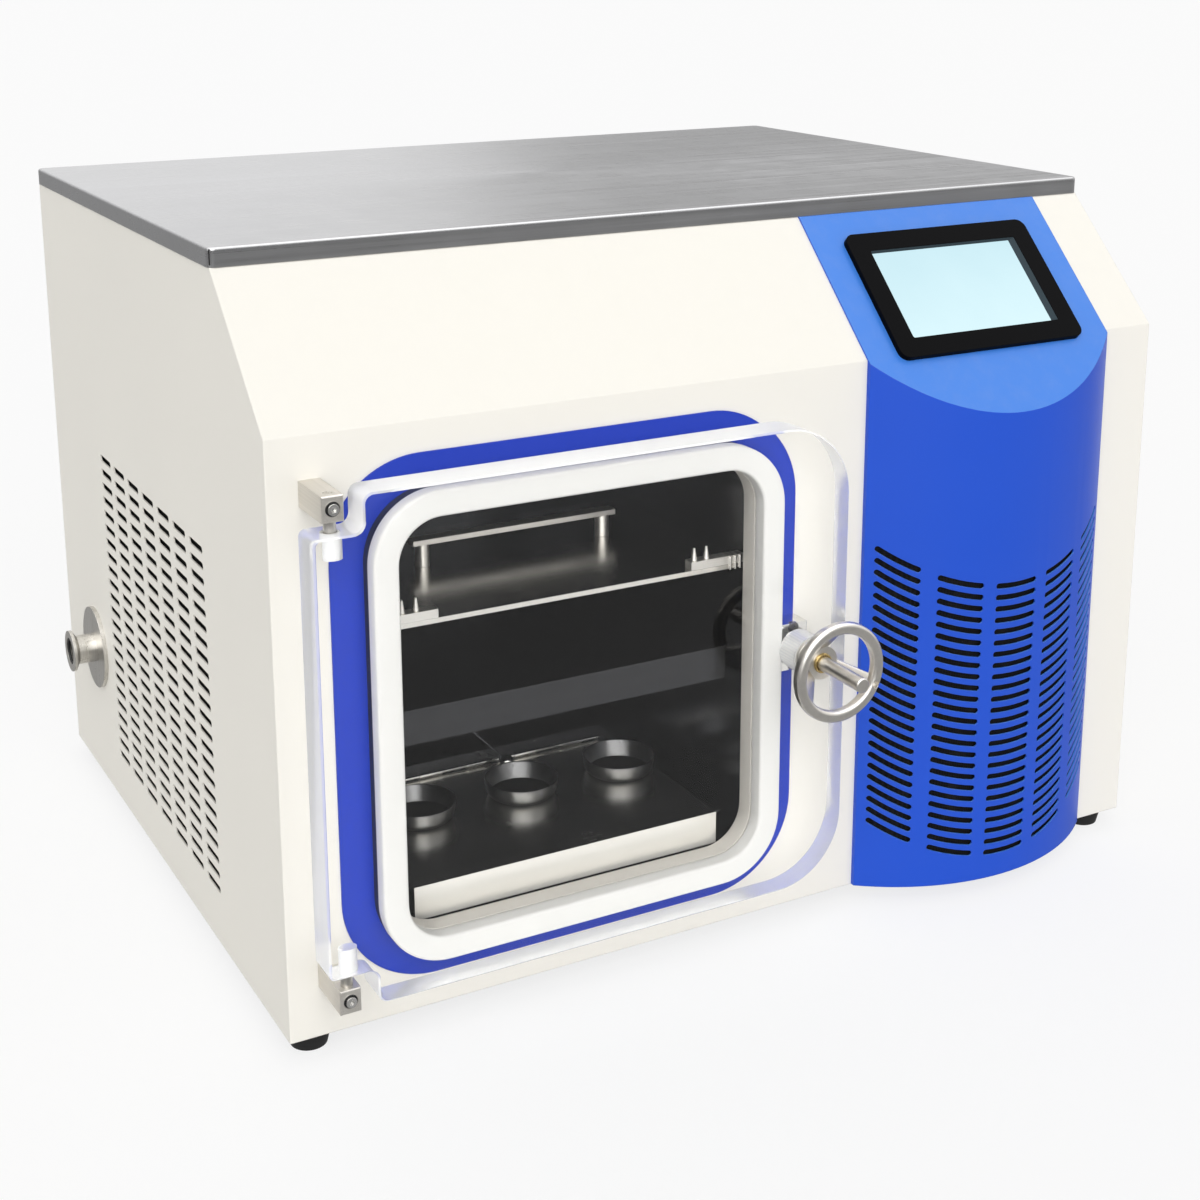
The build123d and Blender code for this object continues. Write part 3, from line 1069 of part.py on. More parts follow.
def rear_rail():
    """Thin rod with bright sleeves, lying along the back of the lower shelf."""
    z = LOWER_SHELF_TOP + SLEEVE_RADIUS
    half = LOWER_SHELF_WIDTH / 2 - REAR_RAIL_INSET
    start, end = (CHAMBER_CENTRE_X - half, REAR_RAIL_Y, z), (CHAMBER_CENTRE_X + half, REAR_RAIL_Y, z)
    rail = rod(REAR_RAIL_RADIUS, start, end)
    for offset in pattern(SLEEVE_COUNT, SLEEVE_PITCH):
        x = CHAMBER_CENTRE_X + offset
        rail += rod(SLEEVE_RADIUS, (x - SLEEVE_LENGTH / 2, REAR_RAIL_Y, z), (x + SLEEVE_LENGTH / 2, REAR_RAIL_Y, z))
    return rail


def temperature_probe():
    """Round sensor on the lower shelf with a stem to the chamber's back wall."""
    z = LOWER_SHELF_TOP + PROBE_BALL_RADIUS
    x = CHAMBER_CENTRE_X + PROBE_OFFSET
    ball = Pos(x, PROBE_Y, z) * Sphere(PROBE_BALL_RADIUS)
    return ball + rod(PROBE_STEM_RADIUS, (x, PROBE_Y, z + 2), (x, CHAMBER_DEPTH, z + 2))


# --- Vacuum line ---------------------------------------------------------------------------------
def port_plate():
    """Round steel plate on the left side."""
    disc = rod(PORT_PLATE_RADIUS, (-PORT_PLATE_THICKNESS, PORT_Y, PORT_Z), (0, PORT_Y, PORT_Z))
    hole = PORT_TUBE_RADIUS + SEAT_FIT
    return disc - rod(hole, (-PORT_PLATE_THICKNESS - 1, PORT_Y, PORT_Z), (1, PORT_Y, PORT_Z))


def vacuum_port():
    """Turned port with a standard 40 mm clamp flange, seen as a half section and revolved."""
    face, rim, root = -PORT_REACH, FLANGE_RIM - PORT_REACH, FLANGE_RIM + FLANGE_TAPER - PORT_REACH
    floor = FLANGE_RECESS_DEPTH - PORT_REACH
    section = Polygon(
        (face, FLANGE_RECESS_RADIUS), (face, FLANGE_RADIUS), (rim, FLANGE_RADIUS),
        (root, PORT_TUBE_RADIUS), (PORT_INNER_REACH, PORT_TUBE_RADIUS),
        (PORT_INNER_REACH, PORT_BORE_RADIUS), (floor, PORT_BORE_RADIUS), (floor, FLANGE_RECESS_RADIUS),
        align=None,
    )
    return Pos(0, PORT_Y, PORT_Z) * revolve(section, Axis.X)


def vacuum_pipe():
    """Pipe from the chamber's back wall to the port, with one bend."""
    bend = 2 * PORT_TUBE_RADIUS
    path = FilletPolyline(
        (PIPE_X, CHAMBER_BACK, PORT_Z), (PIPE_X, PORT_Y, PORT_Z), (PORT_INNER_REACH, PORT_Y, PORT_Z),
        radius=bend,
    )
    section = Circle(PORT_TUBE_RADIUS) - Circle(PORT_BORE_RADIUS)
    return sweep(upright(CHAMBER_BACK) * Pos(PIPE_X, PORT_Z) * section, path=path)


# --- Refrigeration -------------------------------------------------------------------------------
def compressor_feet():
    """Where the compressor stands on its grommets: x and y."""
    return [
        (COMPRESSOR_X + x, COMPRESSOR_Y + y)
        for x in (-COMPRESSOR_FOOT_SPAN_X / 2, COMPRESSOR_FOOT_SPAN_X / 2)
        for y in (-COMPRESSOR_FOOT_SPAN_Y / 2, COMPRESSOR_FOOT_SPAN_Y / 2)
    ]


def compressor():
    """Sealed steel pot welded to its mounting plate."""
    plate_bottom = SHEET + GROMMET_HEIGHT
    plate = Pos(COMPRESSOR_X, COMPRESSOR_Y, plate_bottom) * extrude(
        RectangleRounded(
            COMPRESSOR_FOOT_SPAN_X + 2 * COMPRESSOR_FOOT_EDGE, COMPRESSOR_FOOT_SPAN_Y + 2 * COMPRESSOR_FOOT_EDGE,
            COMPRESSOR_PLATE_CORNER,
        ),
        COMPRESSOR_PLATE,
    )
    pot = Cylinder(COMPRESSOR_RADIUS, COMPRESSOR_HEIGHT, align=(Align.CENTER, Align.CENTER, Align.MIN))
    pot = fillet(pot.edges().group_by(Axis.Z)[-1], COMPRESSOR_DOME)
    return plate + Pos(COMPRESSOR_X, COMPRESSOR_Y, plate_bottom + COMPRESSOR_PLATE) * pot


def compressor_grommets():
    """Four rubber mounts on the base pan."""
    bottom, top = SHEET, SHEET + GROMMET_HEIGHT
    return Compound([rod(GROMMET_RADIUS, (x, y, bottom), (x, y, top)) for x, y in compressor_feet()])


def condenser():
    """Fin block with its two end plates and tubes, standing on the base pan's rim height."""
    left, right = COLUMN_MIDDLE - CONDENSER_WIDTH / 2, COLUMN_MIDDLE + CONDENSER_WIDTH / 2
    bottom, top = CONDENSER_Z - CONDENSER_HEIGHT / 2, CONDENSER_Z + CONDENSER_HEIGHT / 2
    front, back = CONDENSER_Y, CONDENSER_Y + CONDENSER_DEPTH
    block = box(left, left + CONDENSER_END, front, back, SHEET, top)
    block += box(right - CONDENSER_END, right, front, back, SHEET, top)
    for offset in pattern(CONDENSER_FINS, (CONDENSER_WIDTH - 2 * FIN_END_GAP) / CONDENSER_FINS):
        x = COLUMN_MIDDLE + offset
        block += box(x - FIN_THICKNESS / 2, x + FIN_THICKNESS / 2, front, back, bottom, top)
    for z in pattern(CONDENSER_TUBES, CONDENSER_HEIGHT / CONDENSER_TUBES):
        for y in (front + CONDENSER_DEPTH / 4, back - CONDENSER_DEPTH / 4):
            block += rod(LINE_RADIUS, (left, y, CONDENSER_Z + z), (right, y, CONDENSER_Z + z))
    return block


def fan_shroud():
    """Frame behind the condenser with a round throat and the arms that carry the motor."""
    left, right = COLUMN_MIDDLE - CONDENSER_WIDTH / 2, COLUMN_MIDDLE + CONDENSER_WIDTH / 2
    bottom, top = SHEET, CONDENSER_Z + CONDENSER_HEIGHT / 2
    wall = SHROUD_WALL
    frame = box(left, right, SHROUD_FRONT, SHROUD_BACK, bottom, top)
    frame -= box(left + wall, right - wall, SHROUD_FRONT - 1, SHROUD_BACK - wall, bottom + wall, top - wall)
    throat = FAN_RADIUS + FAN_TIP_CLEARANCE
    centre = (COLUMN_MIDDLE, CONDENSER_Z)
    back = SHROUD_BACK
    frame -= rod(throat, (centre[0], back - wall - 1, centre[1]), (centre[0], back + 1, centre[1]))
    reach, half = throat + ARM_OVERLAP, ARM_WIDTH / 2
    arms = box(centre[0] - reach, centre[0] + reach, back - wall, back, centre[1] - half, centre[1] + half)
    arms += box(centre[0] - half, centre[0] + half, back - wall, back, centre[1] - reach, centre[1] + reach)
    arms += rod(MOTOR_RADIUS, (centre[0], back - wall, centre[1]), (centre[0], back, centre[1]))
    hole = MOTOR_SHAFT_RADIUS + SHAFT_CLEARANCE
    arms -= rod(hole, (centre[0], back - wall - 1, centre[1]), (centre[0], back + 1, centre[1]))
    return frame + arms


def fan_motor():
    """Motor bolted to the shroud's arms, with its shaft through the fan's hub."""
    x, z = COLUMN_MIDDLE, CONDENSER_Z
    motor = rod(MOTOR_RADIUS, (x, SHROUD_BACK, z), (x, SHROUD_BACK + MOTOR_LENGTH, z))
    return motor + rod(MOTOR_SHAFT_RADIUS, (x, FAN_Y - FAN_DEPTH / 2, z), (x, SHROUD_BACK, z))


def fan_blades():
    """Hub and pitched blades, bored for the motor's shaft."""
    x, z = COLUMN_MIDDLE, CONDENSER_Z
    hub = rod(FAN_HUB_RADIUS, (x, FAN_Y - FAN_DEPTH / 2, z), (x, FAN_Y + FAN_DEPTH / 2, z))
    blade_length = FAN_RADIUS - FAN_HUB_RADIUS + BLADE_ROOT
    chord = FAN_DEPTH / sin(radians(FAN_BLADE_PITCH)) * BLADE_DEPTH_SHARE
    blade = Box(blade_length, FAN_BLADE_THICKNESS, chord)
    blade = Pos(FAN_HUB_RADIUS - BLADE_ROOT + blade_length / 2, 0, 0) * Rot(FAN_BLADE_PITCH, 0, 0) * blade
    fan = hub
    for index in range(FAN_BLADES):
        fan += Pos(x, FAN_Y, z) * Rot(0, index * 360 / FAN_BLADES, 0) * blade
    bore = MOTOR_SHAFT_RADIUS + RUNNING_FIT
    return fan - rod(bore, (x, FAN_Y - FAN_DEPTH, z), (x, FAN_Y + FAN_DEPTH, z))


def filter_drier():
    """Copper drier, upright, held by the lines at its two ends."""
    return rod(DRIER_RADIUS, (DRIER_X, DRIER_Y, DRIER_Z), (DRIER_X, DRIER_Y, DRIER_Z + DRIER_LENGTH))


def line(*points):
    """A refrigerant tube along straight runs with round bends."""
    path = FilletPolyline(*points, radius=LINE_BEND)
    start, following = Vector(*points[0]), Vector(*points[1])
    section = Plane(origin=start, z_dir=following - start) * Circle(LINE_RADIUS)
    return sweep(section, path=path)


def refrigerant_lines():
    """Discharge, liquid, capillary and suction lines of the cooling circuit."""
    pot_side = COMPRESSOR_X + COMPRESSOR_RADIUS
    pot_top = SHEET + GROMMET_HEIGHT + COMPRESSOR_PLATE + COMPRESSOR_HEIGHT
    block_left = COLUMN_MIDDLE - CONDENSER_WIDTH / 2
    block_y = CONDENSER_Y + CONDENSER_DEPTH * 3 / 4
    tube_reach = (CONDENSER_TUBES - 1) / 2 * CONDENSER_HEIGHT / CONDENSER_TUBES
    first_tube, last_tube = CONDENSER_Z + tube_reach, CONDENSER_Z - tube_reach
    return_tail, supply_tail = coil_tails()
    tail_z = coil_tail_height()
    behind = INSULATION_BACK + LINE_BACK_GAP
    above, below = DRIER_Z + DRIER_LENGTH, DRIER_Z
    discharge = line(
        (pot_side, COMPRESSOR_Y, last_tube + LINE_DROP), (LINE_SIDE_X, COMPRESSOR_Y, last_tube + LINE_DROP),
        (LINE_SIDE_X, block_y, last_tube + LINE_DROP), (LINE_SIDE_X, block_y, last_tube),
        (block_left, block_y, last_tube),
    )
    liquid = line(
        (block_left, block_y, first_tube), (DRIER_X, block_y, first_tube),
        (DRIER_X, block_y, first_tube + LINE_RISE), (DRIER_X, DRIER_Y, first_tube + LINE_RISE),
        (DRIER_X, DRIER_Y, above),
    )
    capillary = line(
        (DRIER_X, DRIER_Y, below), (DRIER_X, DRIER_Y, below - LINE_RISE / 2),
        (DRIER_X - LINE_RISE, DRIER_Y, below - LINE_RISE / 2),
        (DRIER_X - LINE_RISE, behind, below - LINE_RISE / 2),
        (DRIER_X - LINE_RISE, behind, tail_z), (supply_tail, behind, tail_z),
        (supply_tail, INSULATION_BACK, tail_z),
    )
    suction = line(
        (return_tail, INSULATION_BACK, tail_z), (return_tail, behind + LINE_BACK_GAP, tail_z),
        (return_tail, behind + LINE_BACK_GAP, tail_z - LINE_DROP),
        (return_tail, COMPRESSOR_Y, tail_z - LINE_DROP),
        (return_tail, COMPRESSOR_Y, pot_top),
    )
    return Compound([discharge, liquid, capillary, suction])


# --- Electrics -----------------------------------------------------------------------------------
def control_board():
    """Circuit board on four standoffs on the right side panel, with its larger components."""
    wall = CABINET_WIDTH - SHEET
    face = wall - BOARD_STANDOFF
    y, z = CABINET_DEPTH / 2 + BOARD_OFFSET_Y, SHELL_HEIGHT / 2 + BOARD_OFFSET_Z
    board = box(
        face - BOARD_THICKNESS, face,
        y - BOARD_LENGTH / 2, y + BOARD_LENGTH / 2,
        z - BOARD_HEIGHT / 2, z + BOARD_HEIGHT / 2,
    )
    reach_y, reach_z = BOARD_LENGTH / 2 - STANDOFF_INSET, BOARD_HEIGHT / 2 - STANDOFF_INSET
    for dy in (-reach_y, reach_y):
        for dz in (-reach_z, reach_z):
            board += rod(STANDOFF_RADIUS, (face, y + dy, z + dz), (wall, y + dy, z + dz))
    front = face - BOARD_THICKNESS
    for dy, dz, length in BOARD_COMPONENTS:
        low, high = z + dz - COMPONENT_HEIGHT / 2, z + dz + COMPONENT_HEIGHT / 2
        board += box(front - COMPONENT_DEPTH, front, y + dy - length / 2, y + dy + length / 2, low, high)
    return board


def power_supply():
    """Boxed power supply on the base pan."""
    x1 = CABINET_WIDTH - SHEET - SUPPLY_GAP
    y1 = CABINET_DEPTH - SHEET - INLET_DEPTH - SUPPLY_GAP
    return box(x1 - SUPPLY_LENGTH, x1, y1 - SUPPLY_WIDTH, y1, SHEET, SHEET + SUPPLY_HEIGHT)


def power_inlet():
    """Mains inlet in the rear panel, with three pins in its socket."""
    back = CABINET_DEPTH
    half_w, half_h = INLET_WIDTH / 2, INLET_HEIGHT / 2
    bottom, top = INLET_Z - half_h, INLET_Z + half_h
    inlet = box(INLET_X - half_w, INLET_X + half_w, back - INLET_DEPTH, back, bottom, top)
    rim = (half_w + INLET_RIM, half_h + INLET_RIM)
    inlet += box(INLET_X - rim[0], INLET_X + rim[0], back, back + INLET_FLANGE, INLET_Z - rim[1], INLET_Z + rim[1])
    reach, rise = SOCKET_WIDTH / 2, SOCKET_HEIGHT / 2
    floor = back - SOCKET_DEPTH
    inlet -= box(INLET_X - reach, INLET_X + reach, floor, back + INLET_FLANGE + 1, INLET_Z - rise, INLET_Z + rise)
    half, tall = INLET_PIN_WIDTH / 2, INLET_PIN_HEIGHT / 2
    for dx, dz in INLET_PINS:
        x, z = INLET_X + dx, INLET_Z + dz
        inlet += box(x - half, x + half, floor, back - INLET_PIN_SETBACK, z - tall, z + tall)
    return inlet


def main_switch_housing():
    """Frame of the main switch in the rear panel, open for the rocker."""
    back = CABINET_DEPTH
    half_w, half_h = SWITCH_WIDTH / 2, SWITCH_HEIGHT / 2
    bottom, ceiling = INLET_Z - half_h, INLET_Z + half_h
    body = box(SWITCH_X - half_w, SWITCH_X + half_w, back - SWITCH_DEPTH, back, bottom, ceiling)
    rim, top = (half_w + SWITCH_RIM, half_h + SWITCH_RIM), back + SWITCH_FLANGE
    body += box(SWITCH_X - rim[0], SWITCH_X + rim[0], back, top, INLET_Z - rim[1], INLET_Z + rim[1])
    well, floor = (half_w - SWITCH_WALL, half_h - SWITCH_WALL), back - SWITCH_DEPTH + SWITCH_FLOOR
    body -= box(SWITCH_X - well[0], SWITCH_X + well[0], floor, top + 1, INLET_Z - well[1], INLET_Z + well[1])
    reach = well[0] + PIVOT_DEPTH + RUNNING_FIT
    return body - pivot_rod(PIVOT_RADIUS + RUNNING_FIT, reach)


def rocker_axis():
    """Depth of the rocker's pivot."""
    return CABINET_DEPTH - PIVOT_SETBACK


def pivot_rod(radius, reach):
    """A rod along the rocker's pivot, the same length to both sides."""
    y = rocker_axis()
    return rod(radius, (SWITCH_X - reach, y, INLET_Z), (SWITCH_X + reach, y, INLET_Z))


def main_switch_rocker():
    """Rocker of the main switch, tipped to off, on a pivot held in the housing's walls."""
    half_w = SWITCH_WIDTH / 2 - SWITCH_WALL - ROCKER_CLEARANCE
    half_h = SWITCH_HEIGHT / 2 - SWITCH_WALL - ROCKER_END_CLEARANCE
    low = half_h - ROCKER_TAPER
    outline = Polygon(
        (-ROCKER_BACK, -low), (-ROCKER_BACK, low),
        (ROCKER_FRONT, half_h), (ROCKER_FRONT - ROCKER_HOLLOW, 0), (ROCKER_FRONT, -half_h),
        align=None,
    )
    rocker = extrude(outline, half_w, both=True)
    place = Plane(origin=(SWITCH_X, rocker_axis(), INLET_Z), x_dir=(0, 1, 0), z_dir=(1, 0, 0))
    rocker = place * Rot(0, 0, ROCKER_TILT / 2) * rocker
    return rocker + pivot_rod(PIVOT_RADIUS, SWITCH_WIDTH / 2 - SWITCH_WALL + PIVOT_DEPTH)


# --- Feet ----------------------------------------------------------------------------------------
def foot(x, y):
    """Rubber foot, tapered to the floor, with a recess for its screw."""
    body = Pos(x, y, -FOOT_HEIGHT / 2) * Cone(FOOT_TIP_RADIUS, FOOT_RADIUS, FOOT_HEIGHT)
    body = fillet(body.edges().group_by(Axis.Z)[0], FOOT_EDGE_RADIUS)
    body -= rod(FOOT_SCREW_RADIUS + SEAT_FIT, (x, y, -FOOT_HEIGHT - 1), (x, y, 1))
    seat = FOOT_SCREW_RECESS - FOOT_HEIGHT
    return body - rod(FOOT_SCREW_HEAD_RADIUS + HOLE_FIT, (x, y, -FOOT_HEIGHT - 1), (x, y, seat))


def foot_screws():
    """Four screws up through the feet into the base pan."""
    seat = FOOT_SCREW_RECESS - FOOT_HEIGHT
    return Compound([
        rod(FOOT_SCREW_HEAD_RADIUS, (x, y, seat - FOOT_SCREW_HEAD_HEIGHT), (x, y, seat))
        + rod(FOOT_SCREW_RADIUS, (x, y, seat), (x, y, SHEET + FOOT_SCREW_GRIP))
        for _, x, y in FEET
    ])


# --- Export --------------------------------------------------------------------------------------
def save(name, shape):
    """Move a piece to the part's own frame and write it as one STEP file."""
    placed = Compound([Pos(-ORIGIN.X, -ORIGIN.Y, -ORIGIN.Z) * solid for solid in shape.solids()])
    placed.label = name
    export_step(placed, f"parts/{name}.step")


def main():
    """Build every piece and write it."""
    os.makedirs("parts", exist_ok=True)
    makers = (
        base_pan, left_side_panel, right_side_panel, front_panel, rear_panel, lid, rear_thumb_screws,
        column_cover, screen_bezel, screen_glass, screen_housing,
        vacuum_chamber, chamber_insulation, evaporator_coil, door_surround, door_gasket,
        door_plate, door_bushes, hinge_pins, hinge_screws,
        clamp_keeper, keeper_screws, clamp_bolt, clamp_bush, clamp_washer, clamp_handwheel,
        upper_shelf, middle_shelf, lower_shelf, shelf_supports, lift_bar, shelf_clips, rear_rail,
        temperature_probe, port_plate, vacuum_port, vacuum_pipe,
        compressor, compressor_grommets, condenser, fan_shroud, fan_motor, fan_blades, filter_drier,
        refrigerant_lines, control_board, power_supply, power_inlet, main_switch_housing,
        main_switch_rocker, foot_screws,
    )
    for maker in makers:
        save(maker.__name__, maker())
    save("hinge_block_upper", hinge_block(UPPER_BLOCK_Z))
    save("hinge_block_lower", hinge_block(LOWER_BLOCK_Z))
    for index, side in enumerate(("left", "middle", "right")):
        save(f"sample_dish_{side}", sample_dish(index))
    for name, x, y in FEET:
        save(name, foot(x, y))


main()
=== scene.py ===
"""Scene of a bench-top freeze dryer: finishes, small parts, studio and camera.

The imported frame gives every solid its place. The classes below dress each sub-assembly, model the
small parts that finish it, and set up a pale studio. All lengths are metres.
"""

import logging
import math
from collections.abc import Callable
from dataclasses import dataclass
from enum import Enum

import bmesh
import bpy
from mathutils import Matrix, Vector


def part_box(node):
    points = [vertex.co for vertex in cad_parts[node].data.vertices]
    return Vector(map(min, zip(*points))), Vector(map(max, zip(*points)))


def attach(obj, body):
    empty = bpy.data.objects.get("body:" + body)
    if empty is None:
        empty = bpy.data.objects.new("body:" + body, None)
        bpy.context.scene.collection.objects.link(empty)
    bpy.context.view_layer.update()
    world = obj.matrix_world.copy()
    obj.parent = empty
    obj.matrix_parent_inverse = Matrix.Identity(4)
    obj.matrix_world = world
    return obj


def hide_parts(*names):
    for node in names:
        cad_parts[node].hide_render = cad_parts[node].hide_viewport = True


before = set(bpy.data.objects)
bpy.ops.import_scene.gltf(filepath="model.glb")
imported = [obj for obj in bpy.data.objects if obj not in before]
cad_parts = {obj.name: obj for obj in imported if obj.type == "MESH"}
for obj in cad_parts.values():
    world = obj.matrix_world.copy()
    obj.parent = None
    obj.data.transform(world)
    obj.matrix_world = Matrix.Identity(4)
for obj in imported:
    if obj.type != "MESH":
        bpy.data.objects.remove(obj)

log = logging.getLogger("freeze_dryer")

Colour = tuple[float, float, float]
Triple = tuple[float, float, float]
Test = Callable[[Vector, Vector], bool]

SLOPE = math.radians(45.0)
SQUARE_ON = 0.9  # the least share of a normal or an edge that still counts as pointing one way
LEVEL = 0.1  # the most that a level edge climbs, as a share of its length
HAIR = 0.00001  # a step too small to see, where a wall starts from its rim
WHITE = (1.0, 1.0, 1.0, 1.0)


def opaque(colour: Colour) -> tuple[float, float, float, float]:
    """A colour with nothing showing through it."""
    return (*colour, 1.0)


def shifted(start: Vector | Triple, step: Triple) -> Triple:
    """A place and a step from it, added up."""
    return tuple(place + part for place, part in zip(start, step))


class Axis(Enum):
    """The way that a round piece points."""

    X = (0.0, math.radians(90.0), 0.0)
    Y = (math.radians(90.0), 0.0, 0.0)
    Z = (0.0, 0.0, 0.0)


class Side(Enum):
    """The way that a face looks."""

    LEFT = (-1.0, 0.0, 0.0)
    FRONT = (0.0, -1.0, 0.0)
    BACK = (0.0, 1.0, 0.0)
    BELOW = (0.0, 0.0, -1.0)
    ABOVE = (0.0, 0.0, 1.0)


class Brushing(Enum):
    """How a metal was ground: how fast the grain changes along x, y and z, per metre."""

    ALONG_X = (5.0, 900.0, 900.0)
    ALONG_Y = (900.0, 5.0, 900.0)
    ALONG_Z = (900.0, 900.0, 5.0)
    FINE_X = (14.0, 2600.0, 2600.0)
    TUMBLED = (260.0, 260.0, 260.0)


# --- Node trees ------------------------------------------------------------------------------------
class Tree:
    """A node tree with short ways to add nodes and wire them."""

    def __init__(self, tree: bpy.types.NodeTree) -> None:
        """Keeps the tree and empties it.

        Args:
            tree: the tree of a material, a world or a node group.
        """
        self.tree = tree
        tree.nodes.clear()

    def node(self, kind: str, settings: dict | None = None, **sockets: object) -> bpy.types.Node:
        """Adds a node.

        Args:
            kind: the node's type.
            settings: its own properties.
            sockets: what each input gets, a value or another node's output. An underscore stands
                for a space.

        Returns:
            The node.
        """
        made = self.tree.nodes.new(kind)
        for name, value in (settings or {}).items():
            setattr(made, name, value)
        for name, value in sockets.items():
            self.feed(made.inputs[name.replace("_", " ")], value)
        return made

    def feed(self, socket: bpy.types.NodeSocket, value: object) -> None:
        """Links an output to an input, or sets the input's value.

        Args:
            socket: the input.
            value: an output socket or a plain value.
        """
        if isinstance(value, bpy.types.NodeSocket):
            self.tree.links.new(value, socket)
        elif value is not None:
            socket.default_value = value

    def math(
        self, operation: str, first: object, second: object = None, clamp: bool = False,
    ) -> bpy.types.NodeSocket:
        """Adds a Math node.

        Args:
            operation: what it does.
            first: its first number.
            second: its second number.
            clamp: True to keep the result from 0 to 1.

        Returns:
            The result.
        """
        made = self.node("ShaderNodeMath", {"operation": operation, "use_clamp": clamp})
        self.feed(made.inputs[0], first)
        self.feed(made.inputs[1], second)
        return made.outputs[0]

    def vector(self, operation: str, first: object, second: object = None) -> bpy.types.Node:
        """Adds a Vector Math node.

        Args:
            operation: what it does.
            first: its first vector.
            second: its second vector.

        Returns:
            The node.
        """
        made = self.node("ShaderNodeVectorMath", {"operation": operation})
        self.feed(made.inputs[0], first)
        self.feed(made.inputs[1], second)
        return made

    def blend(self, share: object, first: object, second: object) -> bpy.types.NodeSocket:
        """Mixes two colours.

        Args:
            share: how much of the second there is.
            first: the first colour.
            second: the second colour.

        Returns:
            The mixed colour.
        """
        made = self.node("ShaderNodeMix", {"data_type": "RGBA"})
        self.feed(made.inputs[0], share)
        self.feed(made.inputs[6], first)
        self.feed(made.inputs[7], second)
        return made.outputs[2]

    def remap(
        self, value: object, low: float, high: float, to_low: float = 0.0, to_high: float = 1.0,
    ) -> bpy.types.NodeSocket:
        """Turns one range of numbers into another, kept inside its ends.

        Args:
            value: the number.
            low: where the range starts.
            high: where it ends.
            to_low: what its start becomes.
            to_high: what its end becomes.

        Returns:
            The new number.
        """
        made = self.node("ShaderNodeMapRange", {"clamp": True}, Value=value)
        for index, number in enumerate((low, high, to_low, to_high), 1):
            made.inputs[index].default_value = number
        return made.outputs[0]

    def noise(
        self, place: object, scale: object, detail: float = 2.0, roughness: float = 0.5,
    ) -> bpy.types.NodeSocket:
        """Adds a noise texture.

        Args:
            place: the coordinates.
            scale: how fine it is, per metre.
            detail: how many octaves it has.
            roughness: how strong the fine ones are.

        Returns:
            Its value, from 0 to 1.
        """
        sockets = {"Vector": place, "Scale": scale, "Detail": detail, "Roughness": roughness}
        return self.node("ShaderNodeTexNoise", None, **sockets).outputs[0]

    def group(self, name: str, **sockets: object) -> bpy.types.Node:
        """Adds a shared effect.

        Args:
            name: the node group's name.
            sockets: what each of its inputs gets.

        Returns:
            The group's node.
        """
        made = self.tree.nodes.new("ShaderNodeGroup")
        made.node_tree = bpy.data.node_groups[name]
        for key, value in sockets.items():
            self.feed(made.inputs[key.replace("_", " ")], value)
        return made

    def place(self) -> bpy.types.NodeSocket:
        """The piece's own coordinates, in metres."""
        return self.node("ShaderNodeTexCoord").outputs["Object"]

    def part(self, vector: object, letter: str) -> bpy.types.NodeSocket:
        """One part of a vector: X, Y or Z."""
        return self.node("ShaderNodeSeparateXYZ", None, Vector=vector).outputs[letter]

    def facing(self, letter: str) -> bpy.types.NodeSocket:
        """One part of the surface's normal: X, Y or Z."""
        return self.part(self.node("ShaderNodeNewGeometry").outputs["Normal"], letter)

    def wave(self, value: object) -> bpy.types.NodeSocket:
        """The height of a row of even humps, from 0 to 1."""
        return self.math("ABSOLUTE", self.math("SINE", value))

    def bump(
        self, height: object, distance: float, strength: float, normal: object = None,
    ) -> bpy.types.NodeSocket:
        """Adds a Bump node.

        Args:
            height: the relief.
            distance: how deep it is, in metres.
            strength: how much of it shows.
            normal: the normal that it starts from.

        Returns:
            The new normal.
        """
        made = self.node("ShaderNodeBump", None, Strength=strength, Distance=distance, Height=height)
        self.feed(made.inputs["Normal"], normal)
        return made.outputs[0]

    def shader(self, **sockets: object) -> bpy.types.NodeSocket:
        """Adds the Principled shader.

        Args:
            sockets: what its inputs get.

        Returns:
            Its output.
        """
        return self.node("ShaderNodeBsdfPrincipled", None, **sockets).outputs[0]

    def layer(self, share: object, first: object, second: object) -> bpy.types.NodeSocket:
        """Mixes two shaders.

        Args:
            share: how much of the second there is.
            first: the first shader.
            second: the second shader.

        Returns:
            The mixed shader.
        """
        made = self.node("ShaderNodeMixShader")
        for socket, value in zip(made.inputs, (share, first, second)):
            self.feed(socket, value)
        return made.outputs[0]


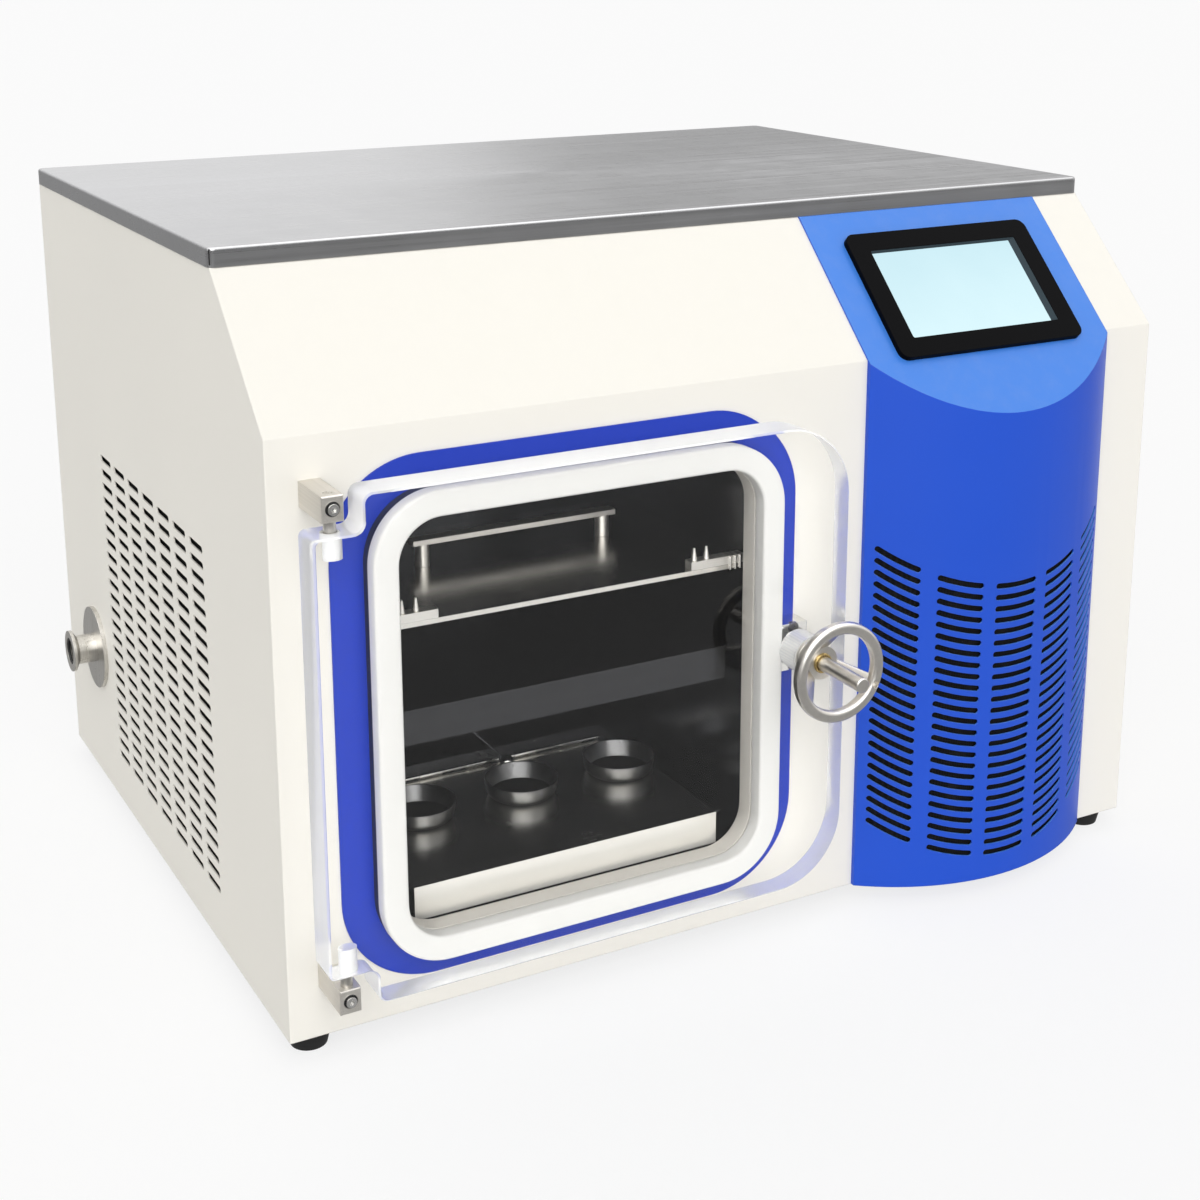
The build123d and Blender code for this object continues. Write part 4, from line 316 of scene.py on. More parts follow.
@dataclass(frozen=True)
class Effects:
    """The node groups that several finishes share."""

    def build(self) -> None:
        """Makes every group once."""
        self.edge_wear()
        self.tone_drift()
        self.coat_grain()
        self.brushed_grain()
        self.settled_dust()

    @staticmethod
    def start(
        name: str, inputs: dict[str, tuple[str, object]], outputs: dict[str, str],
    ) -> tuple[Tree, bpy.types.Node, bpy.types.Node]:
        """Makes an empty group with its sockets.

        Args:
            name: the group's name.
            inputs: each input's kind and usual value.
            outputs: each output's kind.

        Returns:
            The tree, the node that gives its inputs and the node that takes its outputs.
        """
        made = bpy.data.node_groups.new(name, "ShaderNodeTree")
        tree = Tree(made)
        for key, (kind, value) in inputs.items():
            socket = made.interface.new_socket(name=key, in_out="INPUT", socket_type="NodeSocket" + kind)
            if value is not None:
                socket.default_value = value
        for key, kind in outputs.items():
            made.interface.new_socket(name=key, in_out="OUTPUT", socket_type="NodeSocket" + kind)
        return tree, tree.node("NodeGroupInput"), tree.node("NodeGroupOutput")

    def edge_wear(self) -> None:
        """A mask of rubbed edges, and a normal that rounds them."""
        tree, given, result = self.start(
            "edge wear",
            {"Radius": ("Float", 0.001), "Amount": ("Float", 0.5)},
            {"Mask": "Float", "Soft Normal": "Vector"},
        )
        rounded = tree.node("ShaderNodeBevel", {"samples": 4}, Radius=given.outputs["Radius"])
        flat = tree.node("ShaderNodeNewGeometry").outputs["Normal"]
        turn = tree.vector("DOT_PRODUCT", rounded.outputs[0], flat).outputs["Value"]
        edge = tree.remap(turn, 0.995, 0.86)
        patchy = tree.remap(tree.noise(tree.place(), 90.0, 4.0, 0.65), 0.42, 0.72, 0.1, 1.0)
        worn = tree.math("MULTIPLY", tree.math("MULTIPLY", edge, patchy), given.outputs["Amount"], True)
        tree.feed(result.inputs["Mask"], worn)
        tree.feed(result.inputs["Soft Normal"], rounded.outputs[0])

    def tone_drift(self) -> None:
        """A colour that drifts a little lighter and darker over the surface."""
        tree, given, result = self.start(
            "tone drift",
            {"Colour": ("Color", (0.5, 0.5, 0.5, 1.0)), "Amount": ("Float", 0.05), "Scale": ("Float", 6.0)},
            {"Colour": "Color", "Cloud": "Float"},
        )
        cloud = tree.noise(tree.place(), given.outputs["Scale"], 4.0)
        swing = tree.math("MULTIPLY", tree.math("SUBTRACT", cloud, 0.5), given.outputs["Amount"])
        level = tree.math("ADD", tree.math("MULTIPLY", swing, 2.0), 1.0)
        shade = tree.node("ShaderNodeHueSaturation", None, Value=level, Color=given.outputs["Colour"])
        tree.feed(result.inputs["Colour"], shade.outputs[0])
        tree.feed(result.inputs["Cloud"], cloud)

    def coat_grain(self) -> None:
        """The orange peel of a powder coat or the grain of a moulding."""
        tree, given, result = self.start(
            "coat grain",
            {"Scale": ("Float", 500.0)},
            {"Height": "Float"},
        )
        place = tree.place()
        peel = tree.noise(place, given.outputs["Scale"], 3.0)
        swell = tree.noise(place, tree.math("MULTIPLY", given.outputs["Scale"], 0.18), 1.0)
        tree.feed(result.inputs["Height"], tree.math("ADD", peel, tree.math("MULTIPLY", swell, 0.6)))

    def brushed_grain(self) -> None:
        """The long fine lines that a belt leaves on metal."""
        tree, given, result = self.start(
            "brushed grain",
            {"Stretch": ("Vector", (5.0, 900.0, 900.0))},
            {"Tone": "Float", "Height": "Float"},
        )
        lines = tree.vector("MULTIPLY", tree.place(), given.outputs["Stretch"]).outputs["Vector"]
        fine = tree.noise(lines, 1.0, 3.0, 0.6)
        coarse = tree.noise(lines, 0.16, 2.0, 0.5)
        mixed = tree.math("ADD", tree.math("MULTIPLY", fine, 0.55), tree.math("MULTIPLY", coarse, 0.45))
        tree.feed(result.inputs["Tone"], mixed)
        tree.feed(result.inputs["Height"], fine)

    def settled_dust(self) -> None:
        """A mask of fine dust on surfaces that look up."""
        tree, given, result = self.start(
            "settled dust",
            {"Amount": ("Float", 0.1)},
            {"Mask": "Float"},
        )
        upward = tree.remap(tree.facing("Z"), 0.35, 0.95)
        specks = tree.remap(tree.noise(tree.place(), 60.0, 6.0, 0.7), 0.45, 0.7, 0.2, 1.0)
        dusty = tree.math("MULTIPLY", tree.math("MULTIPLY", upward, specks), given.outputs["Amount"])
        tree.feed(result.inputs["Mask"], dusty)


# --- Finishes --------------------------------------------------------------------------------------
@dataclass(frozen=True)
class Finish:
    """A finish that a piece can take. Its name is the material's."""

    name: str

    def make(self) -> bpy.types.Material:
        """Builds the material.

        Returns:
            The material.
        """
        material = bpy.data.materials.new(self.name)
        material.use_nodes = True
        tree = Tree(material.node_tree)
        end = tree.node("ShaderNodeOutputMaterial")
        tree.feed(end.inputs["Surface"], self.surface(tree))
        return material

    def surface(self, tree: Tree) -> bpy.types.NodeSocket:
        """Builds the shader.

        Args:
            tree: the material's tree.

        Returns:
            The shader's output.
        """
        raise NotImplementedError


@dataclass(frozen=True)
class PowderCoat(Finish):
    """Baked paint on sheet metal, with orange peel and rubbed edges, and paler where it looks up as a
    painted highlight.
    """

    colour: Colour = (0.8, 0.8, 0.8)
    # upper: a paler colour for faces that look up, a painted highlight of the light from above
    upper: Colour | None = None
    worn: Colour = (0.6, 0.6, 0.6)
    roughness: float = 0.42
    sheen: float = 0.5
    peel: float = 520.0
    depth: float = 0.00005
    drift: float = 0.012
    wear: float = 0.25

    def surface(self, tree: Tree) -> bpy.types.NodeSocket:
        """Builds the paint.

        Args:
            tree: the material's tree.

        Returns:
            The shader's output.
        """
        edge = tree.group("edge wear", Radius=0.0011, Amount=self.wear)
        base: object = opaque(self.colour)
        if self.upper:
            # painted highlight: faces that look up blend towards the paler upper colour
            base = tree.blend(tree.remap(tree.facing("Z"), 0.3, 0.6), base, opaque(self.upper))
        tone = tree.group("tone drift", Colour=base, Amount=self.drift, Scale=5.0)
        dust = tree.group("settled dust", Amount=0.06)
        clean = tree.blend(edge.outputs["Mask"], tone.outputs["Colour"], opaque(self.worn))
        colour = tree.blend(dust.outputs["Mask"], clean, (0.62, 0.60, 0.56, 1.0))
        grain = tree.group("coat grain", Scale=self.peel)
        bump = tree.bump(grain.outputs["Height"], self.depth, 0.35, edge.outputs["Soft Normal"])
        rough = tree.remap(tone.outputs["Cloud"], 0.3, 0.7, self.roughness - 0.04, self.roughness + 0.05)
        return tree.shader(Base_Color=colour, Roughness=rough, Normal=bump, Specular_IOR_Level=self.sheen)


@dataclass(frozen=True)
class GroundSteel(Finish):
    """Brushed, satin or tumbled metal."""

    light: Colour = (0.7, 0.7, 0.7)
    dark: Colour = (0.5, 0.5, 0.5)
    brushing: Brushing = Brushing.ALONG_X
    roughness: float = 0.3
    spread: float = 0.08
    depth: float = 0.000012
    anisotropy: float = 0.0
    edge: float = 0.35
    metal: float = 1.0
    front_metal: float | None = None

    def surface(self, tree: Tree) -> bpy.types.NodeSocket:
        """Builds the metal.

        Args:
            tree: the material's tree.

        Returns:
            The shader's output.
        """
        grain = tree.group("brushed grain", Stretch=self.brushing.value)
        edge = tree.group("edge wear", Radius=0.0008, Amount=self.edge)
        share = tree.remap(grain.outputs["Tone"], 0.34, 0.66)
        body = tree.blend(share, opaque(self.dark), opaque(self.light))
        tone = tree.group("tone drift", Colour=body, Amount=0.03, Scale=9.0)
        shine = tree.blend(edge.outputs["Mask"], tone.outputs["Colour"], (0.88, 0.87, 0.85, 1.0))
        prints = tree.remap(tree.noise(tree.place(), 22.0, 5.0, 0.6), 0.42, 0.7, 0.0, 0.05)
        least, most = self.roughness - self.spread, self.roughness + self.spread
        rough = tree.math("ADD", tree.remap(grain.outputs["Tone"], 0.3, 0.7, least, most), prints)
        bump = tree.bump(grain.outputs["Height"], self.depth, 0.4, edge.outputs["Soft Normal"])
        metal: object = self.metal
        if self.front_metal is not None:
            metal = tree.remap(tree.facing("Y"), -0.5, -0.9, self.metal, self.front_metal)
        return tree.shader(
            Base_Color=shine, Metallic=metal, Roughness=rough, Normal=bump, Anisotropic=self.anisotropy,
        )


@dataclass(frozen=True)
class Moulded(Finish):
    """Moulded plastic or rubber."""

    colour: Colour = (0.1, 0.1, 0.1)
    worn: Colour = (0.2, 0.2, 0.2)
    roughness: float = 0.45
    grain: float = 900.0
    depth: float = 0.00006
    drift: float = 0.06
    wear: float = 0.3
    coat: float = 0.0
    sheen: float = 0.5
    dust: float = 0.1

    def surface(self, tree: Tree) -> bpy.types.NodeSocket:
        """Builds the moulding.

        Args:
            tree: the material's tree.

        Returns:
            The shader's output.
        """
        edge = tree.group("edge wear", Radius=0.0009, Amount=self.wear)
        tone = tree.group("tone drift", Colour=opaque(self.colour), Amount=self.drift, Scale=14.0)
        dust = tree.group("settled dust", Amount=self.dust)
        clean = tree.blend(edge.outputs["Mask"], tone.outputs["Colour"], opaque(self.worn))
        colour = tree.blend(dust.outputs["Mask"], clean, (0.55, 0.53, 0.5, 1.0))
        grain = tree.group("coat grain", Scale=self.grain)
        bump = tree.bump(grain.outputs["Height"], self.depth, 0.4, edge.outputs["Soft Normal"])
        rough = tree.remap(tone.outputs["Cloud"], 0.3, 0.7, self.roughness - 0.05, self.roughness + 0.06)
        return tree.shader(
            Base_Color=colour, Roughness=rough, Normal=bump, Specular_IOR_Level=self.sheen,
            Coat_Weight=self.coat, Coat_Roughness=0.06,
        )


@dataclass(frozen=True)
class ClearSheet(Finish):
    """A thick clear sheet: flame-clear faces and milled, milky edges with a painted glow."""

    front: float = -0.3
    back: float = -0.27
    tint: Colour = (0.99, 0.99, 0.985)
    milk: float = 0.55
    painted_edge_glow: float = 0.16
    bend: float = 1.28

    def surface(self, tree: Tree) -> bpy.types.NodeSocket:
        """Builds the sheet.

        Args:
            tree: the material's tree.

        Returns:
            The shader's output.
        """
        place = tree.place()
        middle, half = (self.front + self.back) / 2, (self.back - self.front) / 2
        away = tree.math("ABSOLUTE", tree.math("SUBTRACT", tree.part(place, "Y"), middle))
        milled = tree.remap(away, half - 0.00005, half - 0.00025)
        stretched = tree.vector("MULTIPLY", place, (30.0, 260.0, 30.0)).outputs["Vector"]
        streaks = tree.noise(stretched, 1.0, 3.0, 0.6)
        cut = tree.math("MULTIPLY", milled, tree.remap(streaks, 0.3, 0.7, 0.10, 0.13))
        smear = tree.remap(tree.noise(place, 12.0, 4.0, 0.6), 0.5, 0.75, 0.0, 0.012)
        rough = tree.math("ADD", cut, smear)
        glass = tree.shader(
            Base_Color=opaque(self.tint), Roughness=rough, IOR=self.bend, Transmission_Weight=1.0,
        )
        frost = tree.blend(tree.remap(streaks, 0.3, 0.7), (0.89, 0.89, 0.885, 1.0), (0.92, 0.92, 0.92, 1.0))
        # painted glow: the milled edges emit a faint light so that they look brighter
        milk = tree.shader(
            Base_Color=frost, Roughness=0.5, Emission_Color=(0.93, 0.95, 1.0, 1.0),
            Emission_Strength=self.painted_edge_glow,
        )
        body = tree.layer(tree.math("MULTIPLY", milled, self.milk), glass, milk)
        clear = tree.node("ShaderNodeBsdfTransparent", None, Color=(0.965, 0.965, 0.96, 1.0)).outputs[0]
        return tree.layer(tree.node("ShaderNodeLightPath").outputs["Is Shadow Ray"], body, clear)


@dataclass(frozen=True)
class LitPanel(Finish):
    """A display that is on and shows a plain pale picture."""

    glow: Colour = (0.64, 0.87, 0.92)
    rim: Colour = (0.52, 0.76, 0.83)
    low: float = 0.5
    high: float = 0.6
    strength: float = 0.94

    def surface(self, tree: Tree) -> bpy.types.NodeSocket:
        """Builds the display.

        Args:
            tree: the material's tree.

        Returns:
            The shader's output.
        """
        place = tree.place()
        climb = tree.remap(tree.part(place, "Z"), self.low, self.high)
        cloud = tree.remap(tree.noise(place, 16.0, 2.0), 0.3, 0.7, -0.15, 0.15)
        glow = tree.blend(tree.math("ADD", climb, cloud, True), opaque(self.glow), opaque(self.rim))
        dots = tree.noise(place, 1400.0, 1.0)
        shown = tree.blend(tree.remap(dots, 0.35, 0.65, 0.0, 0.05), glow, (0.4, 0.6, 0.7, 1.0))
        smear = tree.remap(tree.noise(place, 30.0, 4.0), 0.4, 0.7, 0.05, 0.14)
        return tree.shader(
            Base_Color=(0.02, 0.03, 0.035, 1.0), Roughness=smear, Emission_Color=shown,
            Emission_Strength=self.strength,
        )


@dataclass(frozen=True)
class FineMesh(Finish):
    """A dark woven filter behind a grille, near-black partly as painted shade inside the cabinet."""

    # near-black: the filter's own dark colour and painted shade of the cabinet's inside
    colour: Colour = (0.003, 0.003, 0.0035)
    wire: Colour = (0.012, 0.012, 0.013)
    pitch: float = 0.0016

    def surface(self, tree: Tree) -> bpy.types.NodeSocket:
        """Builds the weave.

        Args:
            tree: the material's tree.

        Returns:
            The shader's output.
        """
        scaled = tree.node("ShaderNodeMapping", None, Vector=tree.place(), Scale=(1.0 / self.pitch,) * 3)
        parts = tree.node("ShaderNodeSeparateXYZ", None, Vector=scaled.outputs[0]).outputs
        across = tree.wave(tree.math("MULTIPLY", tree.math("ADD", parts["X"], parts["Y"]), math.pi))
        weave = tree.math("MAXIMUM", across, tree.wave(tree.math("MULTIPLY", parts["Z"], math.pi)))
        lint = tree.remap(tree.noise(tree.place(), 45.0, 5.0, 0.7), 0.5, 0.75, 0.0, 0.5)
        woven = tree.blend(tree.remap(weave, 0.72, 0.95), opaque(self.colour), opaque(self.wire))
        colour = tree.blend(lint, woven, (0.03, 0.029, 0.028, 1.0))
        bump = tree.bump(weave, 0.0003, 0.6)
        rough = tree.remap(weave, 0.0, 1.0, 0.9, 0.6)
        return tree.shader(Base_Color=colour, Roughness=rough, Normal=bump, Specular_IOR_Level=0.1)


@dataclass(frozen=True)
class CellFoam(Finish):
    """Closed-cell foam lagging."""

    colour: Colour = (0.03, 0.03, 0.033)

    def surface(self, tree: Tree) -> bpy.types.NodeSocket:
        """Builds the foam.

        Args:
            tree: the material's tree.

        Returns:
            The shader's output.
        """
        cells = tree.node("ShaderNodeTexVoronoi", None, Vector=tree.place(), Scale=700.0)
        tone = tree.group("tone drift", Colour=opaque(self.colour), Amount=0.15, Scale=20.0)
        pores = tree.remap(cells.outputs[0], 0.0, 0.6, 0.5, 0.0)
        colour = tree.blend(pores, tone.outputs["Colour"], (0.01, 0.01, 0.01, 1.0))
        rough = tree.remap(tone.outputs["Cloud"], 0.3, 0.7, 0.8, 0.95)
        bump = tree.bump(cells.outputs[0], 0.0003, 0.5)
        return tree.shader(Base_Color=colour, Roughness=rough, Normal=bump)


@dataclass(frozen=True)
class FinStack(Finish):
    """Thin aluminium fins with lint between them, and painted shade in the gaps between the fins."""

    pitch: float = 0.0021

    def surface(self, tree: Tree) -> bpy.types.NodeSocket:
        """Builds the fins' metal.

        Args:
            tree: the material's tree.

        Returns:
            The shader's output.
        """
        place = tree.place()
        fins = tree.wave(tree.math("MULTIPLY", tree.part(place, "X"), math.pi / self.pitch))
        # darker stripes between the fins: painted shade of the gaps
        metal = tree.blend(tree.remap(fins, 0.2, 0.8), (0.16, 0.16, 0.16, 1.0), (0.66, 0.67, 0.68, 1.0))
        lint = tree.remap(tree.noise(place, 70.0, 5.0, 0.7), 0.55, 0.75, 0.0, 0.6)
        colour = tree.blend(lint, metal, (0.2, 0.19, 0.18, 1.0))
        rough = tree.remap(lint, 0.0, 0.6, 0.32, 0.8)
        bump = tree.bump(fins, 0.0004, 0.7)
        return tree.shader(Base_Color=colour, Metallic=0.9, Roughness=rough, Normal=bump)


@dataclass(frozen=True)
class CircuitBoard(Finish):
    """Green lacquered board with tracks and tinned pads."""

    mask: Colour = (0.01, 0.11, 0.035)
    track: Colour = (0.02, 0.19, 0.06)

    def surface(self, tree: Tree) -> bpy.types.NodeSocket:
        """Builds the board.

        Args:
            tree: the material's tree.

        Returns:
            The shader's output.
        """
        place = tree.place()
        layout = {"offset": 0.35, "squash": 1.6}
        maze = tree.node("ShaderNodeTexBrick", layout, Scale=120.0, Mortar_Size=0.03)
        turned = tree.node("ShaderNodeMapping", None, Vector=place, Rotation=Axis.X.value)
        tree.feed(maze.inputs["Vector"], turned.outputs[0])
        tracks = tree.blend(maze.outputs["Fac"], opaque(self.mask), opaque(self.track))
        pads = tree.node("ShaderNodeTexVoronoi", {"feature": "F1"}, Vector=place, Scale=160.0)
        pad = tree.remap(pads.outputs[0], 0.13, 0.11)
        colour = tree.blend(pad, tracks, (0.6, 0.6, 0.58, 1.0))
        rough = tree.remap(pad, 0.0, 1.0, 0.35, 0.25)
        bump = tree.bump(maze.outputs["Fac"], 0.0001, 0.4)
        return tree.shader(Base_Color=colour, Roughness=rough, Normal=bump)


class Paints:
    """Every finish of the machine, made once and looked up by name."""

    def __init__(self, door: tuple[Vector, Vector], panel: tuple[Vector, Vector]) -> None:
        """Lists the finishes.

        Args:
            door: the clear door's box, for its milled edges.
            panel: the display's box.
        """
        Effects().build()
        finishes = [
            PowderCoat(
                "ivory_paint", colour=(0.865, 0.84, 0.775), worn=(0.72, 0.70, 0.66), roughness=0.46,
                sheen=0.2,
            ),
            PowderCoat(
                # upper paints the highlight that the light from above puts on the column's sloped plate
                "blue_paint", colour=(0.004, 0.075, 0.60), upper=(0.036, 0.195, 0.68),
                worn=(0.30, 0.45, 0.85), roughness=0.42, sheen=0.5, drift=0.03,
            ),
            # Surround paint: the plate's own deep blue, darkened partly as painted shade behind the door
            PowderCoat(
                "deep_blue", colour=(0.008, 0.040, 0.46), worn=(0.06, 0.10, 0.5), roughness=0.4,
                sheen=0.4, drift=0.03,
            ),
            PowderCoat(
                "compressor_paint", colour=(0.012, 0.012, 0.013), worn=(0.1, 0.1, 0.1), roughness=0.35,
                peel=380.0,
            ),
            GroundSteel(
                "lid_steel", light=(0.485, 0.485, 0.495), dark=(0.428, 0.428, 0.433),
                brushing=Brushing.ALONG_X, roughness=0.30, anisotropy=0.3,
            ),
            GroundSteel(
                "steel", light=(0.80, 0.78, 0.74), dark=(0.75, 0.73, 0.69), brushing=Brushing.FINE_X,
                roughness=0.2, spread=0.01, depth=0.0000004,
            ),
            GroundSteel(
                "lip_steel", light=(0.90, 0.88, 0.83), dark=(0.84, 0.82, 0.77), brushing=Brushing.FINE_X,
                roughness=0.22, spread=0.01, depth=0.0000001, edge=0.0, front_metal=0.5,
            ),
            GroundSteel(
                "satin_steel", light=(0.84, 0.82, 0.78), dark=(0.76, 0.74, 0.70),
                brushing=Brushing.FINE_X, roughness=0.40, spread=0.03, depth=0.000001,
            ),
            GroundSteel(
                "plate_steel", light=(0.70, 0.68, 0.64), dark=(0.52, 0.50, 0.46),
                brushing=Brushing.ALONG_Z, roughness=0.3,
            ),
            # Near-black steel: painted shade of the unlit inside of the chamber
            GroundSteel(
                "chamber_steel", light=(0.085, 0.088, 0.096), dark=(0.072, 0.075, 0.082),
                brushing=Brushing.TUMBLED, roughness=0.16, spread=0.02, depth=0.000002, edge=0.05,
            ),
            # Near-black shelf steel: painted shade inside the unlit chamber
            GroundSteel(
                "shelf_steel_painted_shade", light=(0.060, 0.061, 0.064), dark=(0.045, 0.046, 0.049),
                brushing=Brushing.FINE_X, roughness=0.2, spread=0.01, depth=0.0000004, edge=0.12,
            ),
            GroundSteel(
                "zinc_steel", light=(0.62, 0.63, 0.64), dark=(0.42, 0.43, 0.44),
                brushing=Brushing.TUMBLED, roughness=0.42, spread=0.12,
            ),
            GroundSteel(
                "polished_steel", light=(0.84, 0.83, 0.81), dark=(0.72, 0.71, 0.68),
                brushing=Brushing.TUMBLED, roughness=0.15, spread=0.05, depth=0.000004,
            ),
            GroundSteel(
                "hinge_steel", light=(0.74, 0.71, 0.66), dark=(0.62, 0.59, 0.54),
                brushing=Brushing.ALONG_Y, roughness=0.36, spread=0.04, depth=0.000004, metal=0.75,
            ),
            GroundSteel(
                "wheel_steel", light=(0.80, 0.77, 0.72), dark=(0.72, 0.69, 0.64),
                brushing=Brushing.TUMBLED, roughness=0.32, spread=0.02, depth=0.0000002, edge=0.0,
            ),
            GroundSteel(
                "screw_steel", light=(0.30, 0.29, 0.28), dark=(0.16, 0.155, 0.15),
                brushing=Brushing.TUMBLED, roughness=0.34,
            ),
            # Dark steel for the dishes: painted shade of the unlit chamber
            GroundSteel(
                "dish_steel", light=(0.19, 0.19, 0.19), dark=(0.165, 0.165, 0.165),
                brushing=Brushing.TUMBLED, roughness=0.3, spread=0.03, depth=0.000001, edge=0.1,
            ),
            GroundSteel(
                "brass", light=(0.78, 0.60, 0.28), dark=(0.55, 0.40, 0.16), brushing=Brushing.TUMBLED,
                roughness=0.28,
            ),
            GroundSteel(
                "copper", light=(0.72, 0.36, 0.22), dark=(0.42, 0.19, 0.11), brushing=Brushing.TUMBLED,
                roughness=0.32, spread=0.12,
            ),
            Moulded(
                "seal", colour=(0.75, 0.745, 0.725), worn=(0.70, 0.69, 0.67), roughness=0.62, grain=650.0,
                drift=0.015, wear=0.15, dust=0.03,
            ),
            # A darker copy of the seal: painted shade on its leg inside the neck
            Moulded(
                "seal_leg", colour=(0.60, 0.575, 0.53), worn=(0.56, 0.54, 0.50), roughness=0.6,
                grain=650.0, drift=0.02, dust=0.0,
            ),
            # Dark navy band: painted shade in the gap between the surround and the seal
            Moulded(
                "neck_rubber_painted_shade", colour=(0.008, 0.011, 0.032), worn=(0.02, 0.025, 0.06), roughness=0.5,
                dust=0.0,
            ),
            Moulded(
                "black_plastic", colour=(0.0035, 0.0035, 0.004), worn=(0.012, 0.012, 0.012),
                roughness=0.3, grain=1200.0, depth=0.00001, sheen=0.02, dust=0.0,
            ),
            Moulded(
                "bevel_plastic", colour=(0.028, 0.044, 0.054), worn=(0.06, 0.08, 0.09), roughness=0.4,
                grain=1400.0, depth=0.00001, sheen=0.1, dust=0.0,
            ),
            Moulded("dark_plastic", colour=(0.02, 0.02, 0.022), worn=(0.07, 0.07, 0.07), roughness=0.5),
            Moulded(
                "foot_rubber", colour=(0.010, 0.010, 0.010), worn=(0.04, 0.04, 0.04), roughness=0.55,
                grain=700.0, dust=0.12,
            ),
            Moulded(
                "red_plastic", colour=(0.50, 0.02, 0.015), worn=(0.6, 0.12, 0.1), roughness=0.32,
                coat=0.3,
            ),
            Moulded("chip_plastic", colour=(0.015, 0.015, 0.016), worn=(0.06, 0.06, 0.06), roughness=0.6),
            Moulded(
                "clear_nylon", colour=(0.62, 0.62, 0.605), worn=(0.56, 0.56, 0.54), roughness=0.4,
                drift=0.03, dust=0.0,
            ),
            CellFoam("foam"),
            FinStack("fins"),
            CircuitBoard("board"),
            FineMesh("filter_mesh"),
            ClearSheet("acrylic", front=door[0].y, back=door[1].y),
            LitPanel("screen", low=panel[0].z, high=panel[1].z),
        ]
        self.materials = {finish.name: finish.make() for finish in finishes}
        log.info("finishes: %d", len(finishes))

    def dress(self, piece: bpy.types.Object, name: str) -> None:
        """Gives a piece one finish all over.

        Args:
            piece: the piece.
            name: the finish.
        """
        material = self.materials[name]
        if not piece.data.materials:
            piece.data.materials.append(material)
        for index in range(len(piece.data.materials)):
            piece.data.materials[index] = material
        for slot in piece.material_slots:
            slot.link = "DATA"
            slot.material = material


